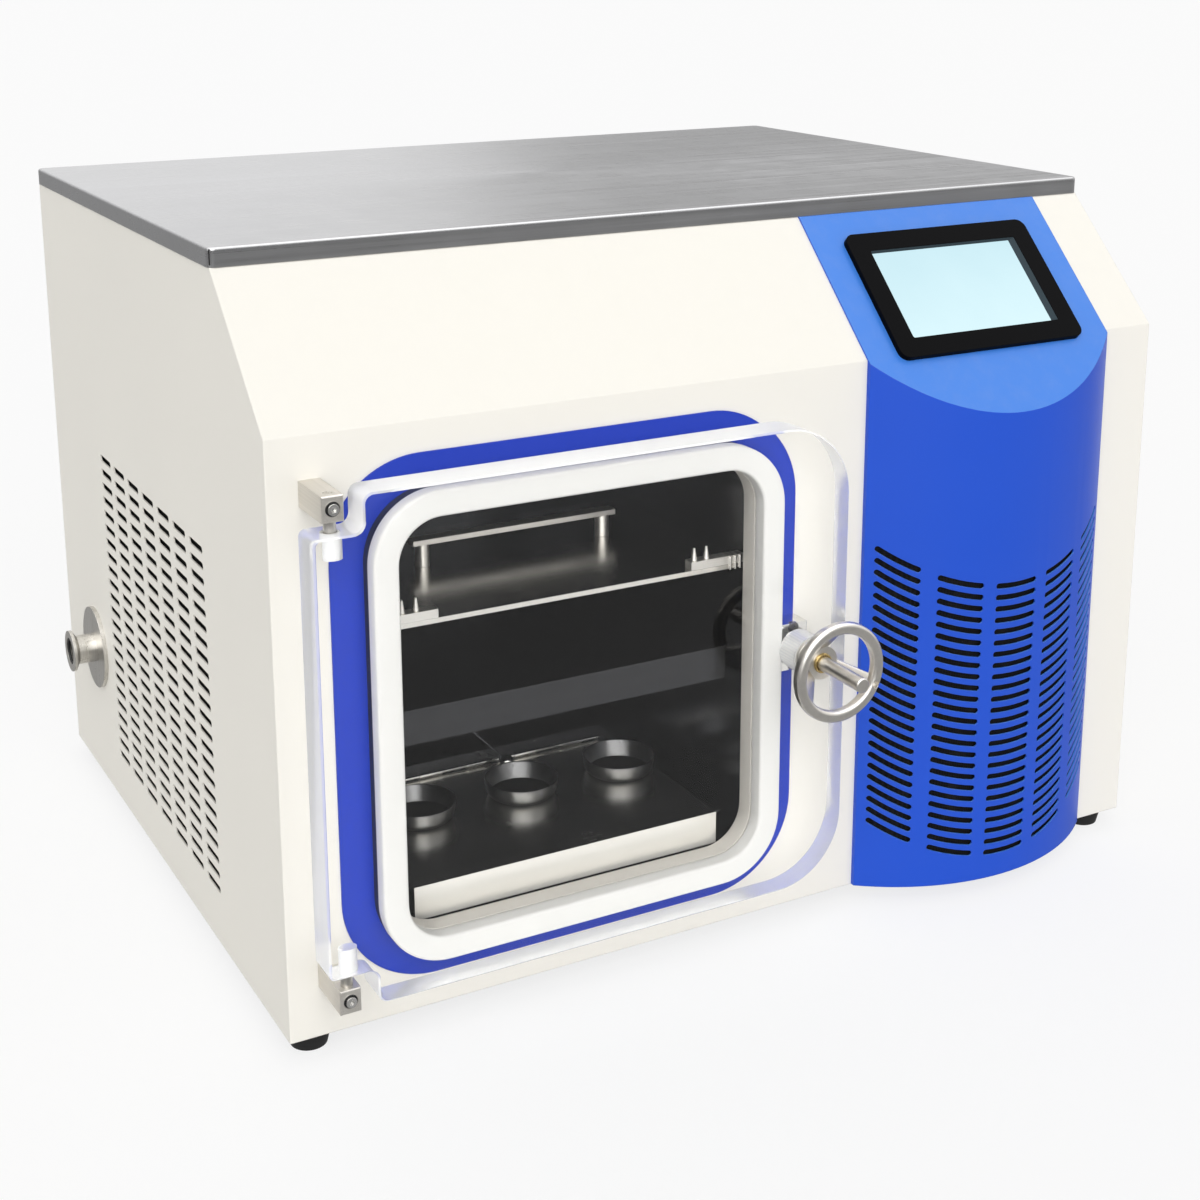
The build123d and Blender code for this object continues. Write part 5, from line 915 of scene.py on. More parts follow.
# --- Modelling -------------------------------------------------------------------------------------
class Workshop:
    """Modelling steps done with the operators, as by hand."""

    @staticmethod
    def clear() -> None:
        """Leaves edit mode and deselects everything."""
        if bpy.context.object and bpy.context.object.mode != "OBJECT":
            bpy.ops.object.mode_set(mode="OBJECT")
        bpy.ops.object.select_all(action="DESELECT")

    def choose(self, piece: bpy.types.Object) -> None:
        """Makes a piece the only selected and the active one, out of edit mode.

        Args:
            piece: the piece.
        """
        self.clear()
        piece.select_set(True)
        bpy.context.view_layer.objects.active = piece

    @staticmethod
    def settle(name: str) -> bpy.types.Object:
        """Names the active piece and puts its place into its mesh.

        Args:
            name: the piece's name.

        Returns:
            The piece.
        """
        piece = bpy.context.active_object
        piece.name = piece.data.name = name
        bpy.ops.object.transform_apply(location=True, rotation=True, scale=True)
        return piece

    def block(self, name: str, low: Vector | Triple, high: Vector | Triple) -> bpy.types.Object:
        """Adds a block between two corners.

        Args:
            name: the piece's name.
            low: its lowest corner.
            high: its highest corner.

        Returns:
            The piece.
        """
        self.clear()
        low, high = Vector(low), Vector(high)
        bpy.ops.mesh.primitive_cube_add(size=1.0, location=(low + high) / 2, scale=high - low)
        return self.settle(name)

    def round(
        self, name: str, centre: Vector, axis: Axis, radius: float, length: float, sides: int = 48,
    ) -> bpy.types.Object:
        """Adds a round bar.

        Args:
            name: the piece's name.
            centre: its middle.
            axis: which way it points.
            radius: its radius.
            length: its length.
            sides: how many sides it has.

        Returns:
            The piece.
        """
        self.clear()
        bpy.ops.mesh.primitive_cylinder_add(
            vertices=sides, radius=radius, depth=length, location=centre, rotation=axis.value,
        )
        return self.settle(name)

    def hoop(
        self, name: str, centre: Vector, axis: Axis, radius: float, thickness: float,
        turns: int = 64, sides: int = 14,
    ) -> bpy.types.Object:
        """Adds a round ring.

        Args:
            name: the piece's name.
            centre: its middle.
            axis: the line that it goes round.
            radius: from its middle to the middle of its section.
            thickness: the radius of its section.
            turns: how many steps round the ring.
            sides: how many steps round the section.

        Returns:
            The piece.
        """
        self.clear()
        bpy.ops.mesh.primitive_torus_add(
            major_radius=radius, minor_radius=thickness, major_segments=turns, minor_segments=sides,
            location=centre, rotation=axis.value,
        )
        return self.settle(name)

    def edit(self, piece: bpy.types.Object, faces: Test | None = None, edges: Test | None = None) -> int:
        """Enters edit mode with the faces or edges that pass a test selected.

        Args:
            piece: the piece.
            faces: a test on each face's normal and middle.
            edges: a test on each edge's direction and middle.

        Returns:
            How many were selected.
        """
        self.choose(piece)
        bpy.ops.object.mode_set(mode="EDIT")
        bpy.ops.mesh.select_mode(type="FACE" if faces else "EDGE")
        bpy.ops.mesh.select_all(action="DESELECT")
        mesh = bmesh.from_edit_mesh(piece.data)
        count = 0
        if faces:
            for face in mesh.faces:
                picked = faces(face.normal, face.calc_center_median())
                face.select_set(picked)
                count += picked
        if edges:
            for edge in mesh.edges:
                first, second = (corner.co for corner in edge.verts)
                picked = edges((second - first).normalized(), (first + second) / 2)
                edge.select_set(picked)
                count += picked
        bmesh.update_edit_mesh(piece.data)
        return count

    def pick(self, piece: bpy.types.Object, side: Side) -> int:
        """Enters edit mode with the faces that look one way selected.

        Args:
            piece: the piece.
            side: the way that they look.

        Returns:
            How many were selected.
        """
        way = Vector(side.value)
        return self.edit(piece, faces=lambda normal, middle: normal.dot(way) > SQUARE_ON)

    def whole(self, piece: bpy.types.Object) -> None:
        """Enters edit mode with all of a piece selected.

        Args:
            piece: the piece.
        """
        self.edit(piece, faces=lambda normal, middle: True)
        bpy.ops.mesh.select_all(action="SELECT")

    @staticmethod
    def taper(share: float, centre: Vector) -> None:
        """Scales what is selected sideways, towards an upright line.

        Args:
            share: the scale.
            centre: a point of the line.
        """
        bpy.ops.transform.resize(value=(share, share, 1.0), center_override=centre)

    @staticmethod
    def sink(wall: float, depth: float) -> None:
        """Hollows the selected faces out, or raises them, inside a flat rim.

        Args:
            wall: how wide the rim is.
            depth: how far they rise, or sink where it is negative.
        """
        bpy.ops.mesh.inset(thickness=wall, depth=0.0)
        bpy.ops.mesh.inset(thickness=HAIR, depth=depth)

    def soften(self, piece: bpy.types.Object, width: float, steps: int = 2, angle: float = 40.0) -> None:
        """Bevels the sharp edges of a piece and shades it smooth.

        Args:
            piece: the piece.
            width: the bevel's width.
            steps: how many steps it has.
            angle: the least angle between faces, in degrees.
        """
        self.choose(piece)
        bevel = piece.modifiers.new("soft edges", "BEVEL")
        bevel.width, bevel.segments = width, steps
        bevel.limit_method, bevel.angle_limit = "ANGLE", math.radians(angle)
        bpy.ops.object.modifier_apply(modifier=bevel.name)
        self.smooth(piece)

    def thicken(self, piece: bpy.types.Object, wall: float) -> None:
        """Gives an open sheet its thickness.

        Args:
            piece: the piece.
            wall: the thickness.
        """
        self.choose(piece)
        solid = piece.modifiers.new("wall", "SOLIDIFY")
        solid.thickness, solid.offset = wall, -1.0
        bpy.ops.object.modifier_apply(modifier=solid.name)

    def smooth(self, piece: bpy.types.Object, angle: float = 35.0) -> None:
        """Shades a piece smooth between its sharp edges.

        Args:
            piece: the piece.
            angle: the least sharp angle, in degrees.
        """
        self.choose(piece)
        bpy.ops.object.shade_smooth_by_angle(angle=math.radians(angle))

    def slice(self, piece: bpy.types.Object, point: Vector, side: Side, drop: bool = False) -> None:
        """Cuts a piece along a plane, and keeps or drops what is beyond it.

        Args:
            piece: the piece.
            point: a point of the plane.
            side: the way that the plane looks.
            drop: True to drop what lies that way.
        """
        self.whole(piece)
        bpy.ops.mesh.bisect(plane_co=point, plane_no=side.value, clear_outer=drop)
        self.clear()

    def turn(self, piece: bpy.types.Object, angle: float, axis: str, centre: Vector) -> None:
        """Turns a piece about a point and keeps its object unturned.

        Args:
            piece: the piece.
            angle: the angle in radians.
            axis: the axis, X, Y or Z.
            centre: the point.
        """
        self.whole(piece)
        bpy.ops.transform.rotate(value=-angle, orient_axis=axis, center_override=centre)
        self.clear()

    def copy(self, piece: bpy.types.Object, name: str, shift: Vector) -> bpy.types.Object:
        """Copies a piece, with its own mesh, to another place.

        Args:
            piece: the piece.
            name: the copy's name.
            shift: how far it moves.

        Returns:
            The copy.
        """
        self.choose(piece)
        bpy.ops.object.duplicate(linked=False)
        bpy.ops.transform.translate(value=shift)
        return self.settle(name)

    def join(self, pieces: list[bpy.types.Object], name: str) -> bpy.types.Object:
        """Joins pieces into one.

        Args:
            pieces: the pieces.
            name: the new piece's name.

        Returns:
            The joined piece.
        """
        self.clear()
        for piece in pieces:
            piece.select_set(True)
        bpy.context.view_layer.objects.active = pieces[0]
        if len(pieces) > 1:
            bpy.ops.object.join()
        return self.settle(name)


@dataclass
class Assembly:
    """A group of pieces with its tools."""

    paints: Paints
    shop: Workshop

    def hold(self, piece: bpy.types.Object, body: str, slot: str, finish: str | None = None) -> None:
        """Dresses a new piece and lets it ride on a body.

        Args:
            piece: the piece.
            body: the body.
            slot: the record's material slot.
            finish: the finish, where it isn't the slot's own.
        """
        self.paints.dress(piece, finish or slot)
        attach(piece, body)
        log.info("made %s on %s", piece.name, body)

    def repeat(
        self, first: bpy.types.Object, name: str, shifts: list[Vector], slot: str,
        finish: str | None = None,
    ) -> None:
        """Copies a finished piece to other places on the cabinet, numbered from 2.

        Args:
            first: the finished piece.
            name: what the copies are called, before their numbers.
            shifts: how far each is from the first.
            slot: the record's material slot.
            finish: the finish, where it isn't the slot's own.
        """
        for number, shift in enumerate(shifts, 2):
            other = self.shop.copy(first, f"{name}_{number}", shift)
            self.hold(other, "cabinet", slot, finish)

    def stand_in(self, first: str, nodes: tuple[str, ...], suffix: str, slot: str) -> None:
        """Copies the modelled piece of one node to other nodes of the same shape, in their stead.

        Args:
            first: the node whose piece is modelled.
            nodes: the other nodes.
            suffix: what follows the node in each piece's name.
            slot: the record's material slot.
        """
        model = bpy.data.objects[first + suffix]
        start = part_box(first)[0]
        for node in nodes:
            other = self.shop.copy(model, node + suffix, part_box(node)[0] - start)
            self.hold(other, "cabinet", slot)
            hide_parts(node)

    def dress(self, finishes: dict[str, str]) -> None:
        """Gives nodes of the frame their finishes.

        Args:
            finishes: the finish of each node.
        """
        for node, finish in finishes.items():
            self.paints.dress(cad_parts[node], finish)
            log.info("dressed %s in %s", node, finish)


@dataclass
class Cabinet(Assembly):
    """Panels, lid, feet and what closes them."""

    filter_thickness: float = 0.003
    filter_gap: float = 0.0015
    filter_front: float = 0.1565
    filter_back: float = 0.4835
    filter_bottom: float = 0.042
    filter_top: float = 0.354
    rim: float = 0.006
    mesh_step: float = 0.0004
    mesh_depth: float = 0.001
    foot_taper: float = 0.784
    foot_bore: float = 0.0065
    foot_recess: float = 0.0068
    foot_edge: float = 0.0012
    waist: float = 0.955
    waist_cuts: tuple[float, ...] = (0.0030, 0.0036, 0.0052, 0.0058)
    waist_start: float = 0.0034
    waist_end: float = 0.0054
    screw_radius: float = 0.0065
    knurl_place: float = 0.0055
    knurl_length: float = 0.007
    knurl_over: float = 0.0001
    knurl_gap: float = 0.0003
    knurl_height: float = 0.0004
    knurl_slant: float = 0.5

    def build(self) -> None:
        """Dresses the panels and makes the filter, the feet and the screws' knurls."""
        self.dress({
            "base_pan": "zinc_steel", "left_side_panel": "ivory_paint", "right_side_panel": "ivory_paint",
            "front_panel": "ivory_paint", "rear_panel": "ivory_paint", "lid": "lid_steel",
            "rear_thumb_screws": "screw_steel", "foot_screws": "zinc_steel",
        })
        self.side_filter()
        self.feet()
        self.knurls()

    def side_filter(self) -> None:
        """A framed filter on the inside of the left grille."""
        low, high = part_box("left_side_panel")
        near = high.x + self.filter_gap
        piece = self.shop.block(
            "left_filter", (near, low.y + self.filter_front, low.z + self.filter_bottom),
            (near + self.filter_thickness, low.y + self.filter_back, low.z + self.filter_top),
        )
        self.shop.pick(piece, Side.LEFT)
        bpy.ops.mesh.inset(thickness=self.rim, depth=0.0)
        bpy.ops.mesh.inset(thickness=self.mesh_step, depth=-self.mesh_depth)
        self.shop.soften(piece, self.mesh_step)
        # filter_mesh is near-black, partly painted shade behind the grille
        self.hold(piece, "cabinet", "dark_plastic", "filter_mesh")

    def feet(self) -> None:
        """The four rubber feet: one is modelled and the others are its copies."""
        self.foot("foot_front_left")
        others = ("foot_front_right", "foot_rear_left", "foot_rear_right")
        self.stand_in("foot_front_left", others, "_rubber", "foot_rubber")

    def foot(self, node: str) -> None:
        """One foot: tapered, waisted under its collar and hollow for its screw.

        Args:
            node: the frame's foot that it stands for.
        """
        low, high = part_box(node)
        middle, radius = (low + high) / 2, (high.x - low.x) / 2
        piece = self.shop.round(node + "_rubber", middle, Axis.Z, radius, high.z - low.z, 64)
        self.shop.pick(piece, Side.BELOW)
        self.shop.taper(self.foot_taper, Vector((middle.x, middle.y, low.z)))
        self.shop.sink(radius * self.foot_taper - self.foot_bore, -self.foot_recess)
        for height in self.waist_cuts:
            self.shop.slice(piece, Vector((0.0, 0.0, high.z - height)), Side.ABOVE)
        self.shop.edit(piece, edges=lambda way, place: (
            self.waist_start < high.z - place.z < self.waist_end and abs(way.z) < LEVEL
        ))
        self.shop.taper(self.waist, Vector((middle.x, middle.y, high.z)))
        self.shop.soften(piece, self.foot_edge, 3, 50.0)
        self.hold(piece, "cabinet", "foot_rubber")
        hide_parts(node)

    def knurls(self) -> None:
        """Knurled bands on the heads of the four rear screws."""
        low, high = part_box("rear_thumb_screws")
        radius = self.screw_radius
        sides = (low.x + radius, high.x - radius)
        heights = (low.z + radius, high.z - radius)
        middle = Vector((sides[0], high.y - self.knurl_place, heights[0]))
        first = self.shop.round(
            "rear_screw_knurl_1", middle, Axis.Y, radius + self.knurl_over, self.knurl_length, 36,
        )
        self.shop.edit(first, faces=lambda normal, place: abs(normal.y) < self.knurl_slant)
        bpy.ops.mesh.inset(thickness=self.knurl_gap, depth=self.knurl_height, use_individual=True)
        self.shop.clear()
        self.hold(first, "cabinet", "screw_steel")
        shifts = [Vector((x - middle.x, 0.0, z - middle.z)) for x in sides for z in heights]
        self.repeat(first, "rear_screw_knurl", shifts[1:], "screw_steel")


@dataclass
class Column(Assembly):
    """The blue column with the display and its bezel."""

    border: float = 0.0005
    border_right: float = 0.0065
    border_top: float = 0.0022
    drop: float = 0.0014
    side_step: float = 0.004
    glass: float = 0.0024
    bevel_wall: float = 0.0002
    filter_gap: float = 0.0036
    filter_height: float = 0.317
    filter_start: float = 0.018
    filter_back: float = 0.006
    filter_wall: float = 0.0012

    def build(self) -> None:
        """Dresses the column and makes the bezel's inner bevel and the filter."""
        self.dress({
            "column_cover": "blue_paint", "screen_bezel": "black_plastic", "screen_glass": "screen",
            "screen_housing": "dark_plastic",
        })
        self.inner_bevel()
        self.slot_filter()

    def slot_filter(self) -> None:
        """A curved filter close behind the column's slots."""
        low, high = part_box("column_cover")
        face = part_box("front_panel")[0].y
        width, sagitta = high.x - low.x, face - low.y - self.side_step
        radius = width**2 / (8 * sagitta) + sagitta / 2
        height = low.z + self.filter_start + self.filter_height / 2
        piece = self.shop.round(
            "column_filter", Vector(((low.x + high.x) / 2, low.y + radius, height)), Axis.Z,
            radius - self.filter_gap, self.filter_height, 160,
        )
        self.shop.edit(piece, faces=lambda normal, place: abs(normal.z) > SQUARE_ON)
        bpy.ops.mesh.delete(type="FACE")
        self.shop.slice(piece, Vector((0.0, face - self.filter_back, 0.0)), Side.BACK, True)
        self.shop.thicken(piece, self.filter_wall)
        self.shop.smooth(piece)
        # filter_mesh is near-black, partly painted shade behind the slots
        self.hold(piece, "cabinet", "dark_plastic", "filter_mesh")

    def inner_bevel(self) -> None:
        """The dark border between the bezel and the picture, wide on the right and narrow above."""
        low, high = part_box("screen_glass")
        middle = (low + high) / 2
        width = high.x - low.x
        height = (high.z - low.z) * math.sqrt(2.0) - self.glass
        walls = 2 * self.bevel_wall
        self.shop.clear()
        bpy.ops.mesh.primitive_plane_add(size=1.0, location=middle)
        piece = self.shop.settle("bezel_inner_bevel")
        self.shop.whole(piece)
        bpy.ops.transform.resize(value=(width - walls, height - walls, 1.0), center_override=middle)
        bpy.ops.transform.translate(value=(0.0, 0.0, self.glass / 2 + self.drop))
        bpy.ops.mesh.inset(thickness=self.border, depth=self.bevel_wall - self.drop)
        bpy.ops.mesh.delete(type="FACE")
        right, top = middle.x + width / 2 - 3 * self.border, middle.y + height / 2 - 3 * self.border
        floor = middle.z + self.glass / 2 + self.drop / 2
        self.shop.edit(piece, edges=lambda way, place: (
            place.x > right and abs(way.y) > SQUARE_ON and place.z < floor
        ))
        bpy.ops.transform.translate(value=(self.border - self.border_right, 0.0, 0.0))
        self.shop.edit(piece, edges=lambda way, place: (
            place.y > top and abs(way.x) > SQUARE_ON and place.z < floor
        ))
        bpy.ops.transform.translate(value=(0.0, self.border - self.border_top, 0.0))
        self.shop.clear()
        self.shop.thicken(piece, self.bevel_wall)
        self.shop.turn(piece, SLOPE, "X", middle)
        self.shop.smooth(piece, 20.0)
        self.hold(piece, "cabinet", "black_plastic", "bevel_plastic")


@dataclass
class Chamber(Assembly):
    """The vacuum chamber, its shelves and what stands on them."""

    seal_gap: float = 0.0002
    seal_corner: float = 0.054
    seal_face: float = 0.020
    seal_edge: float = 0.0024
    thin_edge: float = 0.0004
    neck_margin: float = 0.0008
    neck_face: float = 0.006
    leg: float = 0.002
    leg_reach: float = 0.016
    dish_foot: float = 0.93
    dish_bend: float = 0.0055
    dish_wall: float = 0.0012
    dish_floor: float = 0.88
    dish_rim: float = 0.0005
    band: float = 0.0020
    band_places: tuple[float, ...] = (0.0030, 0.0078, 0.0125)
    band_front: float = 0.0010
    band_back: float = 0.0112
    band_under: float = 0.0008
    band_over: float = 0.0058
    band_lip: float = 0.0004
    band_edge: float = 0.0005
    band_arch: float = 0.0012

    def build(self) -> None:
        """Dresses the chamber, shelves, clips, rail, probe and dishes."""
        # The chamber, its shelf supports and the middle shelf take near-black steel: painted shade of the
        # unlit chamber
        self.dress({
            "vacuum_chamber": "chamber_steel", "chamber_insulation": "foam", "evaporator_coil": "copper",
            "door_surround": "deep_blue", "upper_shelf": "steel",
            "middle_shelf": "shelf_steel_painted_shade", "lower_shelf": "lip_steel", "shelf_supports": "chamber_steel",
            "lift_bar": "satin_steel", "shelf_clips": "satin_steel", "rear_rail": "polished_steel",
            "temperature_probe": "polished_steel",
        })
        self.seal()
        self.neck_band()
        self.spring_bands()
        self.dishes()

    def ring(
        self, name: str, margin: float, face: float, front: float, back: float, edge: float,
    ) -> bpy.types.Object:
        """A ring with round corners that follows the seal's outline.

        Args:
            name: the ring's name.
            margin: how far it stays inside the seal's outer edge.
            face: how wide its front is.
            front: where it starts, along y.
            back: where it ends, along y.
            edge: how round its edges are.

        Returns:
            The ring.
        """
        low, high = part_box("door_gasket")
        middle = (low + high) / 2
        self.shop.clear()
        bpy.ops.mesh.primitive_plane_add(size=1.0, location=middle, rotation=Axis.Y.value)
        piece = self.shop.settle(name)
        self.shop.whole(piece)
        size = (high.x - low.x - 2 * margin, 1.0, high.z - low.z - 2 * margin)
        bpy.ops.transform.resize(value=size, center_override=middle)
        bpy.ops.transform.translate(value=(0.0, front - middle.y, 0.0))
        bpy.ops.mesh.select_mode(type="VERT")
        bpy.ops.mesh.select_all(action="SELECT")
        bpy.ops.mesh.bevel(offset=self.seal_corner - margin, segments=16, affect="VERTICES")
        self.shop.whole(piece)
        bpy.ops.mesh.inset(thickness=face, depth=0.0)
        bpy.ops.mesh.delete(type="FACE")
        self.shop.clear()
        self.shop.thicken(piece, back - front)
        self.shop.soften(piece, edge, 4, 50.0)
        return piece

    def seal(self) -> None:
        """The soft door seal, round at its edges and just clear of the door, and its leg in the neck in
        painted shade.
        """
        low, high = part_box("door_gasket")
        piece = self.ring("door_seal", 0.0, self.seal_face, low.y + self.seal_gap, high.y, self.seal_edge)
        self.hold(piece, "cabinet", "seal")
        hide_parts("door_gasket")
        margin = self.seal_face - self.leg
        # the leg takes the darker copy of the seal's finish: painted shade
        leg = self.ring("seal_leg", margin, self.leg, high.y, high.y + self.leg_reach, self.thin_edge)
        self.hold(leg, "cabinet", "seal", "seal_leg")

    def neck_band(self) -> None:
        """The black band around the neck, between the surround and the seal, which paints the shade in the
        gap there.
        """
        front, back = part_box("door_gasket")[1].y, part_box("door_surround")[0].y
        piece = self.ring("neck_band", self.neck_margin, self.neck_face, front, back, self.thin_edge)
        self.hold(piece, "cabinet", "seal", "neck_rubber_painted_shade")

    def dishes(self) -> None:
        """The three shallow sample dishes: one is modelled and the others are its copies."""
        self.dish("sample_dish_left")
        others = ("sample_dish_middle", "sample_dish_right")
        self.stand_in("sample_dish_left", others, "_bowl", "dish_steel")

    def dish(self, node: str) -> None:
        """One dish: a thin pressed bowl with a round foot edge and a rounded rim.

        Args:
            node: the frame's dish that it stands for.
        """
        low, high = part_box(node)
        middle, radius = (low + high) / 2, (high.x - low.x) / 2
        piece = self.shop.round(node + "_bowl", middle, Axis.Z, radius, high.z - low.z, 96)
        foot = Vector((middle.x, middle.y, low.z))
        self.shop.pick(piece, Side.BELOW)
        self.shop.taper(self.dish_foot, foot)
        self.shop.edit(piece, edges=lambda way, place: place.z < low.z + 20 * HAIR)
        bpy.ops.mesh.bevel(offset=self.dish_bend, segments=8, profile=0.5)
        self.shop.pick(piece, Side.ABOVE)
        bpy.ops.mesh.inset(thickness=self.dish_wall, depth=0.0)
        bpy.ops.mesh.inset(thickness=2 * HAIR, depth=self.dish_wall - (high.z - low.z))
        self.shop.taper(self.dish_floor, foot)
        self.shop.soften(piece, self.dish_rim, 2, 50.0)
        # dish_steel is kept dark: painted shade inside the chamber
        self.hold(piece, "cabinet", "dish_steel")
        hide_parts(node)

    def spring_bands(self) -> None:
        """Spring bands that hold the clip strips to the upper shelf's front edge."""
        low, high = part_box("shelf_clips")
        shelf_low, shelf_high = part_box("upper_shelf")
        start = self.band_places[0]
        right = high.x - start
        first = self.shop.block(
            "shelf_band_1", (right - self.band, low.y - self.band_front, shelf_low.z - self.band_under),
            (right, low.y + self.band_back, shelf_high.z + self.band_over),
        )
        self.shop.pick(first, Side.FRONT)
        bpy.ops.mesh.inset(thickness=self.band_lip, depth=self.band_edge)
        self.shop.pick(first, Side.ABOVE)
        bpy.ops.transform.translate(value=(0.0, 0.0, self.band_arch))
        self.shop.soften(first, self.band_edge)
        self.hold(first, "cabinet", "steel")
        shifts = [Vector((start - place, 0.0, 0.0)) for place in self.band_places[1:]]
        self.repeat(first, "shelf_band", shifts, "steel")


@dataclass
class Door(Assembly):
    """The clear door, its hinges and its clamp."""

    bolt_bore: float = 0.0062
    bolt_edge: float = 0.0006
    pin_bore: float = 0.0048
    bush_length: float = 0.019
    bush_cap: float = 0.003
    bush_edge: float = 0.0005
    screw_head: float = 0.0042
    ring_depth: float = 0.0030
    ring_half: float = 0.0006
    hub_depth: float = 0.0136
    hub_radius: float = 0.0072
    hub_half: float = 0.0011

    def build(self) -> None:
        """Dresses the door, hinges, keeper, bolt and wheel."""
        self.dress({
            "door_plate": "acrylic", "hinge_pins": "plate_steel", "hinge_screws": "polished_steel",
            "hinge_block_upper": "hinge_steel", "hinge_block_lower": "hinge_steel",
            "clamp_keeper": "polished_steel", "keeper_screws": "screw_steel", "clamp_bolt": "wheel_steel",
            "clamp_washer": "wheel_steel", "clamp_handwheel": "wheel_steel",
        })
        self.hub_bush()
        self.bolt_bush()
        self.pin_bushes()
        self.screw_shade_rings()

    def bolt_bush(self) -> None:
        """The turned bush that guides the bolt through the door."""
        low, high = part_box("clamp_bush")
        middle, radius = (low + high) / 2, (high.x - low.x) / 2
        piece = self.shop.round("clamp_bush_turned", middle, Axis.Y, radius, high.y - low.y, 96)
        self.shop.edit(piece, faces=lambda normal, place: abs(normal.y) > SQUARE_ON)
        bpy.ops.mesh.delete(type="FACE")
        self.shop.clear()
        self.shop.thicken(piece, radius - self.bolt_bore)
        self.shop.soften(piece, self.bolt_edge, 3, 50.0)
        self.hold(piece, "door", "nylon", "clear_nylon")
        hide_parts("clamp_bush")

    def pin_bushes(self) -> None:
        """The two blind bushes in the door that the hinge pins turn in."""
        low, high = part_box("door_bushes")
        centre, radius = (low + high) / 2, (high.x - low.x) / 2
        length = self.bush_length
        ends = (("lower", low.z + length / 2, Side.BELOW), ("upper", high.z - length / 2, Side.ABOVE))
        cups = []
        for name, height, mouth in ends:
            middle = Vector((centre.x, centre.y, height))
            cup = self.shop.round(f"pin_bush_{name}", middle, Axis.Z, radius, length, 64)
            self.shop.pick(cup, mouth)
            self.shop.sink(radius - self.pin_bore, self.bush_cap - length)
            self.shop.soften(cup, self.bush_edge, 3, 50.0)
            cups.append(cup)
        pair = self.shop.join(cups, "pin_bushes")
        self.shop.smooth(pair)
        self.hold(pair, "door", "nylon", "clear_nylon")
        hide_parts("door_bushes")

    def screw_shade_rings(self) -> None:
        """Black rings round the hinge screws in their blocks: painted shade of the screws' recesses."""
        low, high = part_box("hinge_screws")
        radius = self.screw_head
        upper, lower = (
            Vector(((low.x + high.x) / 2, low.y + self.ring_depth, height))
            for height in (high.z - radius, low.z + radius)
        )
        first = self.shop.hoop(
            "hinge_screw_ring_1", upper, Axis.Y, radius + self.ring_half, self.ring_half, 48, 10,
        )
        self.shop.smooth(first)
        self.hold(first, "cabinet", "screw_steel", "dark_plastic")
        self.repeat(first, "hinge_screw_ring", [lower - upper], "screw_steel", "dark_plastic")

    def hub_bush(self) -> None:
        """The brass bush where the bolt leaves the wheel's hub."""
        low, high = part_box("clamp_handwheel")
        centre = Vector(((low.x + high.x) / 2, high.y - self.hub_depth, (low.z + high.z) / 2))
        piece = self.shop.hoop("hub_bush", centre, Axis.Y, self.hub_radius, self.hub_half)
        self.shop.smooth(piece)
        self.hold(piece, "handwheel", "polished_steel", "brass")


@dataclass
class VacuumPort(Assembly):
    """The port on the left side and its pipe."""

    seal_half: float = 0.0013
    seal_radius: float = 0.0117
    seal_depth: float = 0.0017

    def build(self) -> None:
        """Dresses the port and makes its seal."""
        self.dress({"port_plate": "plate_steel", "vacuum_port": "plate_steel", "vacuum_pipe": "steel"})
        low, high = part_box("vacuum_port")
        centre = Vector((low.x + self.seal_depth, (low.y + high.y) / 2, (low.z + high.z) / 2))
        piece = self.shop.hoop("port_seal", centre, Axis.X, self.seal_radius, self.seal_half)
        self.shop.smooth(piece)
        self.hold(piece, "cabinet", "foot_rubber")


